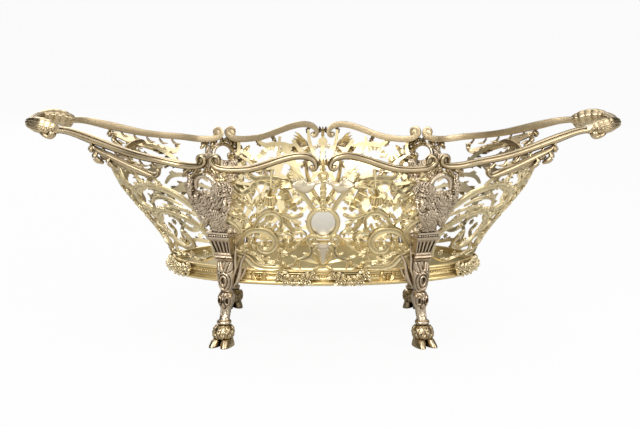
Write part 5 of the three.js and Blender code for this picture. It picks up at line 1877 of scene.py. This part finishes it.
def level_of(rows: Rows, z: float) -> tuple[float, float, float]:
    """Back, front and half width of a lofted piece at a height."""
    heights, *columns = np.array(rows).T
    return tuple(np.interp(z, heights, column) for column in columns)


def soft_line(value: np.ndarray, middle: float | np.ndarray, half: float) -> np.ndarray:
    """A soft line round a value, 1 on it."""
    return np.exp(-(((value - middle) / half) ** 2))


def within(value: np.ndarray, low: float, high: float, soft: float = 0.25) -> np.ndarray:
    """A soft window from low to high, 1 inside it."""
    return 1 / (1 + np.exp((low - value) / soft)) / (1 + np.exp((value - high) / soft))


@dataclass
class Legs:
    """The four supports: hoof, leg, fluted block and mask."""

    leg_rows: Rows = (
        (14.2, 6.4, 14.6, 4.3), (15.2, 6.0, 15.0, 4.7), (16.2, 6.2, 14.4, 4.5), (17.0, 6.6, 13.2, 3.5),
        (17.6, 6.6, 13.0, 3.3), (20.5, 5.4, 12, 3.4), (24.4, 4.4, 11.4, 3.6), (26.0, 3.4, 12.2, 4.5),
        (28.0, 2.4, 13.2, 5.2), (31, 1.8, 13.6, 5.3), (33.6, 2.8, 12.8, 4.5), (35.4, 3.6, 12, 3.6),
        (36.6, 3.2, 12.2, 3.8), (39, 2.2, 13.2, 4.8), (43, 0.4, 14.2, 5.6), (49, 0, 14.4, 6.1), (55.5, 0.2, 13.8, 6.1),
    )
    hoof_rows: Rows = (
        (0.0, 5.2, 21.7, 7.35), (0.6, 5.1, 21.6, 7.3), (4.6, 5.7, 18.6, 6.0), (5.0, 5.4, 18.0, 5.7),
    )
    fetlock_rows: Rows = (
        (4.6, 5.8, 16.6, 5.0), (6.2, 4.8, 17.6, 5.9), (8.6, 4.3, 17.9, 6.3), (11.0, 4.6, 17.0, 6.0),
        (12.9, 5.4, 15.6, 5.0), (13.9, 6.8, 13.9, 3.8),
    )
    block_rows: Rows = (
        (55.9, 2.4, 13.2, 5.6), (56.9, 2.6, 14.2, 6.1), (57.7, 3.4, 13.4, 5.7), (58.6, 3.8, 14.8, 6.0),
        (59.6, 4.6, 14.2, 5.6), (60.6, 5.2, 15.2, 5.7), (61.4, 5.8, 14.6, 5.2), (70.2, 11, 20.0, 6.6),
        (71, 11.2, 21.6, 7.4), (71.8, 11.6, 22.6, 7.9), (73.2, 12.7, 23.2, 8.0), (73.6, 13.0, 22.4, 7.4),
        (74.8, 14.0, 22.8, 7.3), (75.2, 14.4, 24.0, 8.0), (76.4, 15.6, 24.2, 7.8),
    )
    flute_ends: tuple = (61.6, 61.9, 62.3, 69.2, 69.6, 69.9)
    flutes: int = 4
    flute_half: float = 0.55
    flute_deep: float = 1.5
    fetlock_seed: int = 4
    mask_seed: int = 11
    skin_voxel: float = 0.36

    def build(self, shop: Workshop) -> None:
        """Makes all four supports.

        Args:
            shop: Where the pieces are dressed.
        """
        shop.corners(self.hoof(), "hoof", Slot.WORN)
        shop.corners(self.leg(), "leg", Slot.DULLED)
        shop.corners(self.block(), "fluted_block", Slot.DULLED)
        shop.corners(self.mask(), "mask", Slot.DULLED)

    def hoof(self) -> bpy.types.Object:
        """Makes the cloven hoof with its ring of hair.

        Returns:
            The piece.
        """
        cast, rng = Cast(), np.random.default_rng(self.fetlock_seed)
        for side in (-1, 1):
            rings = lofted(self.hoof_rows, 0.85, 28, 10)
            half = rings[:, :, 0].max(axis=1, keepdims=True)
            gap = 0.15 + 0.75 * np.clip((rings[:, :, 1] - 5) / 16.7, 0, 1) ** 2
            rings[:, :, 0] = side * ((rings[:, :, 0] / half + 1) / 2 * (half - gap) + gap)
            cast.tube(LEG.place(rings))
        cast.tube(LEG.place(lofted(self.fetlock_rows, 0.95, 24, 12)))
        for row, (z, count, drop) in enumerate(((12.8, 14, 4.2), (10.6, 17, 4.0), (8.4, 18, 3.6))):
            for k in range(count):
                hair = []
                for i in range(3):
                    up = z - 0.5 * drop * i
                    back, front, half = level_of(self.fetlock_rows, up)
                    bend = 2 * math.pi * (k + 0.5 * (row % 2)) / count + 0.16 * i * (1 if k % 2 else -1)
                    bend += rng.uniform(-0.05, 0.05)
                    out = (back + front) / 2 + ((front - back) / 2 + 0.25) * math.sin(bend)
                    hair.append(((half + 0.25 - 0.1 * i) * math.cos(bend), out, up))
                cast.limb(LEG.place(hair), [0.5, 0.95, 0.8, 0.2], 9)
        return cast.piece("hoof", 60)

    def carving(self, along: np.ndarray, up: np.ndarray) -> np.ndarray:
        """Height of the carving on the leg's face: leaf lobes, looped eye, volutes and a sunk shank.

        Args:
            along: Places across the face.
            up: Heights.

        Returns:
            Heights over the plain face, less than 0 where it is cut in.
        """
        side = np.abs(along)
        lobes = within(up, 48.9, 55.3)
        notch = 1.7 * np.clip((up - 49.6) / 5.8, 0, 1)
        tall = -1.7 * within(notch - side, 0, 9, 0.1) * within(up, 50.4, 58)
        for step, height, half in ((0.9, 0.65, 0.55), (2.0, -0.6, 0.32), (3.0, 0.45, 0.5)):
            tall += height * soft_line(side, notch + step, half) * lobes
        tall -= 0.95 * soft_line(up, 48.4 + 0.2 * (side - 2.4) ** 2, 0.36) * within(side, 0.6, 9)
        drop = up - 43.4
        loop = np.hypot(along, drop / np.where(drop < 0, 1.9, 1.35))
        tall -= 2.2 * within(loop, -9, 1.2, 0.1)
        for radius, height, half in (
            (1.95, 0.55, 0.42), (2.75, -0.75, 0.3), (3.5, 0.45, 0.4), (4.25, -0.8, 0.28), (5.0, 0.3, 0.4),
        ):
            tall += height * soft_line(loop, radius, half) * within(up, 35.9, 47.9)
        tall -= soft_line(up, 35.3 - 0.1 * side, 0.35)
        volute = np.hypot((side - 2.6) / 0.8, (up - 29.6) / 1.65)
        diamond = side / 1.7 + np.abs(up - 26.2) / 3.0
        tall -= 2.0 * within(volute, -9, 0.95, 0.08)
        hock = 0.7 * soft_line(volute, 1.55, 0.35) - 0.7 * soft_line(volute, 2.3, 0.26)
        hock += 0.8 * within(diamond, -9, 0.85, 0.08) - soft_line(diamond, 1.12, 0.14)
        tall += hock * within(up, 23.9, 35.0) - 0.8 * soft_line(side, 0, 0.35) * within(up, 31.2, 34.9)
        tall += 0.5 * soft_line(up, 33.6 - 0.35 * side, 0.5)
        return tall - 0.6 * within(side, -9, 2.0, 0.15) * within(up, 19.4, 23.4)

    def leg(self) -> bpy.types.Object:
        """Makes the leg: ring, shank, scrolled hock and leafy knee with its inner bracket.

        Returns:
            The piece.
        """
        cast, count = Cast(), 112
        rings = lofted(self.leg_rows, 0.9, count, 190)
        facing = np.clip((np.sin(np.linspace(0, 2 * np.pi, count, endpoint=False)) - 0.05) / 0.3, 0, 1)
        rings[..., 1] += facing * self.carving(rings[..., 0], rings[..., 2])
        cast.tube(LEG.place(rings))
        for line, radii in (
            ([(-5.0, 7.5, 38.6), (-7.2, 6.6, 43), (-8.0, 5.4, 48), (-8.4, 5.0, 53), (-10.6, 5.6, 57.4),
              (-12.6, 6.4, 61)], [0.8, 1.7, 2.0, 1.8, 1.3, 0.5]),
            ([(-5.4, 9.5, 46), (-6.8, 9.6, 51), (-6.4, 9.8, 56), (-7.4, 11.4, 61), (-8.4, 13, 66)],
             [0.8, 1.3, 1.4, 1.2, 0.5]),
            ([(-6.4, 4.5, 41), (-9.4, 3.6, 46), (-11.4, 3.4, 50.4), (-13.6, 4.0, 52)], [0.8, 1.3, 1.1, 0.4]),
            ([(5.2, 8.0, 41), (6.6, 6.6, 46), (7.0, 5.8, 51), (6.6, 6.0, 55.4)], [0.8, 1.4, 1.3, 0.7]),
        ):
            cast.limb(LEG.place(line), radii, 24, 0.75)
        return cast.piece("leg", 60)

    def block(self) -> bpy.types.Object:
        """Makes the tapering block with its reeds, flutes and beaded cap.

        Returns:
            The piece.
        """
        cast, across, rings = Cast(), 101, []
        u = np.linspace(-1, 1, across)
        pitch = 1.66 / self.flutes
        flute_middle = np.abs((u + 0.83 + pitch / 2) % pitch - pitch / 2)
        corner = 0.35 * np.clip((np.abs(u) - 0.94) / 0.06, 0, 1)
        for z in np.unique([*(row[0] for row in self.block_rows), *self.flute_ends]):
            back, front, half = level_of(self.block_rows, z)
            depth = self.flute_deep * np.interp(z, [61.5, 62.1, 69.4, 70.0], [0, 1, 1, 0])
            wave = np.clip(1.7 * soft_line(flute_middle * half, 0, self.flute_half), 0, 1) * (np.abs(u) < 0.9)
            front_row = np.column_stack([u * half, front - depth * wave - corner, np.full(across, z)])
            back_row = np.column_stack([u[::-1] * half, np.full(across, back), np.full(across, z)])
            rings.append(np.vstack([front_row, back_row]))
        cast.tube(LEG.place(rings))
        beads = [((2 * k - 8) / 9 * 7.2, 23.0, 0.78) for k in range(9)]
        beads += [(side * 7.5, 21 - 2.1 * k, 0.7) for side in (-1, 1) for k in range(4)]
        for along, out, radius in beads:
            cast.ball(LEG.place((along, out, 74.2)), radius, 6, 8)
        return cast.piece("block", 35)

    def chase(self, mesh: bpy.types.Mesh) -> None:
        """Cuts curled hair into the face and a punched grain into the hide and the neck.

        Args:
            mesh: Mesh of the melted mask.
        """
        places = places_of(mesh) / MM
        origin, _, way = LEG.axes()
        along, up = (places - origin) @ way, places[:, 2]
        bent = places + 1.5 * np.sin(0.75 * places[:, [2, 0, 1]] + 1.0) + 0.7 * np.sin(1.7 * places[:, [1, 2, 0]])
        x, y, z = bent.T
        sway = 0.9 * np.sin(0.45 * (along - up)) + 0.5 * np.sin(0.8 * up)
        sway += 0.8 * np.sin(0.9 * along + 1.3 * np.sin(0.6 * up))
        curls = np.abs(np.sin(1.15 * (along + up) + sway)) - 0.6 + 0.3 * np.sin(3.1 * along - 1.2 * up + sway)
        punched = np.sin(2.1 * x + 0.8) * np.sin(1.9 * z) + 0.4 * np.sin(3.3 * y + 1.9 * x)
        face = np.clip((6.0 - along) / 2.5, 0, 1) * np.clip((up - 80.5) / 2.5, 0, 1)
        face *= np.clip((103.5 - up) / 2, 0, 1)
        places += normals_of(mesh) * (0.62 * curls * face + 0.5 * punched * (1 - face))[:, None]
        mesh.vertices.foreach_set("co", (places * MM).ravel())
        mesh.update()

    def mask(self) -> bpy.types.Object:
        """Makes the horned head of an animal, turned inwards, with the hide that hangs outside it.

        Returns:
            The piece.
        """
        head, rng = Cast(), np.random.default_rng(self.mask_seed)
        for centre, radii in (
            ((-0.6, 20.8, 80), (6.4, 4.0, 4.6)), ((-1.2, 25.6, 86), (6.0, 4.8, 6.6)),
            ((-3.6, 31.0, 94), (6.4, 5.2, 8.0)), ((-11.4, 36.4, 106.4), (6.2, 4.6, 5.2)),
            ((-12.6, 37.6, 99.4), (4.6, 4.2, 5.0)), ((-13.6, 39.4, 95.4), (3.2, 3.0, 3.0)),
            ((-6.8, 34.6, 99.6), (5.4, 4.6, 5.6)), ((3.0, 31.2, 97), (5.0, 4.0, 7.6)),
            ((5.6, 27.6, 89), (4.0, 3.6, 7.0)),
        ):
            head.ball(centre, radii, 10, 16)
        for line, radii in (
            ([(-17.0, 38.6, 103.4), (-14.2, 41.4, 103.8), (-11.0, 41.6, 102.6), (-8.8, 39.6, 100.6)],
             [0.7, 1.2, 1.2, 0.7]),
            ([(-14.0, 41.0, 102.0), (-13.9, 42.2, 98.4), (-14.2, 42.4, 95.2), (-13.0, 41.6, 93.4)],
             [0.8, 1.2, 1.6, 0.9]),
            ([(-15.4, 40.6, 92.4), (-12.8, 41.2, 91.8), (-10.2, 39.4, 92.6)], [0.6, 1.0, 0.6]),
        ):
            head.limb(line, radii, 22, 0.8)
        for k in range(12):
            start, sway = -12.6 + 1.5 * k, rng.uniform(-0.8, 0.8)
            head.limb(
                [(start, 40.2 - 0.35 * k, 103.6 - 0.5 * abs(k - 5)), (start + 2.0 + sway, 39.4 - 0.4 * k, 98.4),
                 (0.72 * start + 2.6 - sway, 36.6 - 0.35 * k, 92.4), (0.55 * start + 1.6 + sway, 32.4 - 0.3 * k, 85.6)],
                [0.9, 1.35, 1.3, 0.5], 22, 0.8,
            )
        for turn in (2 * math.pi * k / 18 for k in range(18)):
            x, y, z = -11.4 + 5.2 * math.cos(turn), 40.6 - abs(math.cos(turn)), 106.6 + 3.6 * math.sin(turn)
            curl = [
                (x + 1.3 * math.cos(turn + step), y - 0.2 * step, z + 1.3 * math.sin(turn + step))
                for step in (0, 1.4, 2.8, 4.2)
            ]
            head.limb(curl, [0.4, 0.85, 0.8, 0.4], 12, 0.8)
        for k in range(9):
            start = -14.6 + 1.5 * k
            head.limb(
                [(start, 40.4 - 0.4 * k, 93.0), (start + 1.6, 39.0 - 0.4 * k, 89.4),
                 (0.8 * start + 0.4, 36.0 - 0.3 * k, 86.0), (0.8 * start + 1.8, 33.0 - 0.3 * k, 82.4)],
                [0.8, 1.4, 1.2, 0.4], 22, 0.8,
            )
        for line, radii in (
            ([(12.4, 35, 114.6), (12.2, 34.6, 110.4), (12.6, 33.0, 104.6), (12.2, 29.8, 97), (9.8, 25.4, 88),
              (7.6, 21, 80)], [2.0, 3.0, 3.6, 3.4, 2.8, 1.6]),
            ([(8.0, 34.6, 104), (8.4, 32.6, 98), (6.6, 29.0, 91), (4.4, 24, 83)], [2.0, 3.0, 2.8, 1.4]),
            ([(11.4, 34, 109), (15.0, 31.4, 108), (16.0, 28.8, 102), (14.4, 27, 96.4)], [1.8, 2.4, 2.0, 0.7]),
        ):
            head.limb(line, radii, 22, 0.75)
        piece = melted(new_object("mask", LEG.place(head.array()), head.faces), self.skin_voxel, 1)
        self.chase(piece.data)
        horn = self.horn()
        select_only(piece)
        horn.select_set(True)
        bpy.ops.object.join()
        return piece

    def horn(self) -> bpy.types.Object:
        """Makes the ribbed horn that arches from the brow to the hide, with its root.

        Returns:
            The horn.
        """
        horn, turns = Cast(), 76
        arch = smooth_line(
            [(-4.0, 38.0, 103.6), (-6.6, 39.2, 105.4), (-7.2, 39.6, 108.6), (-5.0, 39.6, 112.4), (-0.6, 39.2, 114.8),
             (4.2, 38.0, 114.0), (7.4, 36.4, 110.8), (8.4, 34.6, 106.0)], turns)
        ribs = 1 + 0.09 * np.abs(np.sin(np.linspace(0, 13 * np.pi, turns)))
        radii = np.interp(np.linspace(0, 1, turns), [0, 0.2, 0.6, 1], [1.2, 1.4, 1.75, 1.3]) * ribs
        horn.limb(arch, radii, turns, 0.95)
        horn.ball((-4.9, 38.0, 106.0), (2.2, 1.9, 2.6), 12, 18)
        return smoothed(new_object("horn", LEG.place(horn.array()), horn.faces), 80)


# Stage, lights and camera


@dataclass
class Studio:
    """The pale sweep, the soft lights and the camera at the photograph's angle, in metres."""

    camera_at: tuple = (-0.002, -0.943, 0.2436)
    camera_pitch: float = math.radians(80.0)
    lens: float = 80.0
    sensor: float = 36.0
    floor_reach: float = 3.0
    wall_at: float = 1.9
    wall_tall: float = 1.6
    side_level: float = 0.09
    paper_glow: float = 0.94
    paper_colour: tuple = (0.62, 0.62, 0.61, 1)
    lit_height: float = 0.08
    lamps: tuple = (
        ("key_box", (-0.5, -1.15, 0.95), 0.9, 16.5), ("fill_box", (1.0, -0.75, 0.7), 0.8, 7.5),
        ("top_box", (0.1, 0.25, 1.35), 1.0, 5.0), ("back_box", (-0.5, 1.1, 0.7), 0.8, 5.0),
    )

    def build(self) -> None:
        """Sets up floor, world, lamps and camera."""
        self.sweep()
        self.world()
        for name, place, size, watts in self.lamps:
            self.lamp(name, Vector(place), size, watts)
        view = bpy.data.cameras.new("camera")
        view.lens = self.lens
        view.sensor_width = self.sensor
        camera = in_scene("camera", view)
        camera.location = self.camera_at
        camera.rotation_euler = (self.camera_pitch, 0.0, 0.0)
        bpy.context.scene.camera = camera
        bpy.context.scene.view_settings.view_transform = "Standard"

    def lamp(self, name: str, place: Vector, size: float, watts: float) -> None:
        """Adds a square soft light that looks at the basket.

        Args:
            name: Its name.
            place: Where it stands.
            size: Its side.
            watts: Its power.
        """
        light = bpy.data.lights.new(name, "AREA")
        light.shape = "SQUARE"
        light.size = size
        light.energy = watts
        lamp = in_scene(name, light)
        lamp.location = place
        lamp.rotation_euler = (Vector((0, 0, self.lit_height)) - place).to_track_quat("-Z", "Y").to_euler()

    def sweep(self) -> None:
        """Makes the floor and the backdrop as one bent sheet."""
        bpy.ops.object.select_all(action="DESELECT")
        bpy.ops.mesh.primitive_plane_add(size=2 * self.floor_reach, location=(0, self.wall_at - self.floor_reach, 0))
        floor = bpy.context.object
        floor.name = "studio_floor"
        bpy.ops.object.transform_apply(location=True)
        mesh = bmesh.new()
        mesh.from_mesh(floor.data)
        far = [edge for edge in mesh.edges if all(v.co.y > self.wall_at - 0.01 for v in edge.verts)]
        raised = bmesh.ops.extrude_edge_only(mesh, edges=far)["geom"]
        corners = [part for part in raised if isinstance(part, bmesh.types.BMVert)]
        bmesh.ops.translate(mesh, vec=(0, 0, self.wall_tall), verts=corners)
        mesh.to_mesh(floor.data)
        mesh.free()
        floor.data.materials.append(self.paper())

    def paper(self) -> bpy.types.Material:
        """Builds the white paper, which looks white to the camera and keeps the shadow.

        Returns:
            The material.
        """
        material = bpy.data.materials.new("studio_paper")
        material.use_nodes = True
        graph = Graph(material.node_tree)
        graph.nodes.clear()
        ray = graph.add("LightPath").outputs
        seen = graph.math("MAXIMUM", ray["Is Camera Ray"], ray["Is Transmission Ray"])
        paper = graph.add("BsdfDiffuse", {"Color": self.paper_colour})
        share = graph.math("MULTIPLY", seen, self.paper_glow)
        graph.screened(share, paper.outputs[0], graph.add("Emission").outputs[0], "OutputMaterial")
        return material

    def world(self) -> None:
        """Builds the room: white to the camera, and to the metal dimmer upwards and to the sides.

        The last stop of the colours, straight overhead, keeps Blender's own white.
        """
        world = bpy.data.worlds.new("studio_room")
        bpy.context.scene.world = world
        world.use_nodes = True
        graph = Graph(world.node_tree)
        graph.nodes.clear()
        way = graph.add("SeparateXYZ", {0: graph.add("TexCoord").outputs["Generated"]}).outputs
        colours = graph.add("ValToRGB", {"Fac": graph.ramp(way["Z"], -1.0, 1.0, 0.0, 1.0)})
        stops = colours.color_ramp.elements
        for stop, level in ((0.0, 0.62), (0.45, 0.5), (0.62, 0.4), (0.8, 0.22)):
            element = stops.new(stop) if stop else stops[0]
            element.color = (level, level, level * 0.98, 1)
        sides = graph.ramp(graph.math("ABSOLUTE", way["X"]), 0.35, 0.85, 1.0, self.side_level)
        room = graph.add("Background", {"Color": colours.outputs["Color"], "Strength": sides})
        plain = graph.add("Background", {"Color": (1, 1, 1, 1)})
        seen = graph.add("LightPath").outputs["Is Camera Ray"]
        graph.screened(seen, room.outputs[0], plain.outputs[0], "OutputWorld")


def main() -> None:
    """Builds the studio and the whole basket, and notes the sizes."""
    logging.basicConfig(level=logging.INFO, format="%(name)s: %(message)s")
    Studio().build()
    shop = Workshop()
    for assembly in (Base(), LongPanels(), EndPanels(), Swags(), Rails(), MiddleOrnaments(), Legs()):
        assembly.build(shop)
        LOG.info("%s done", type(assembly).__name__)


if __name__ == "__main__":
    main()
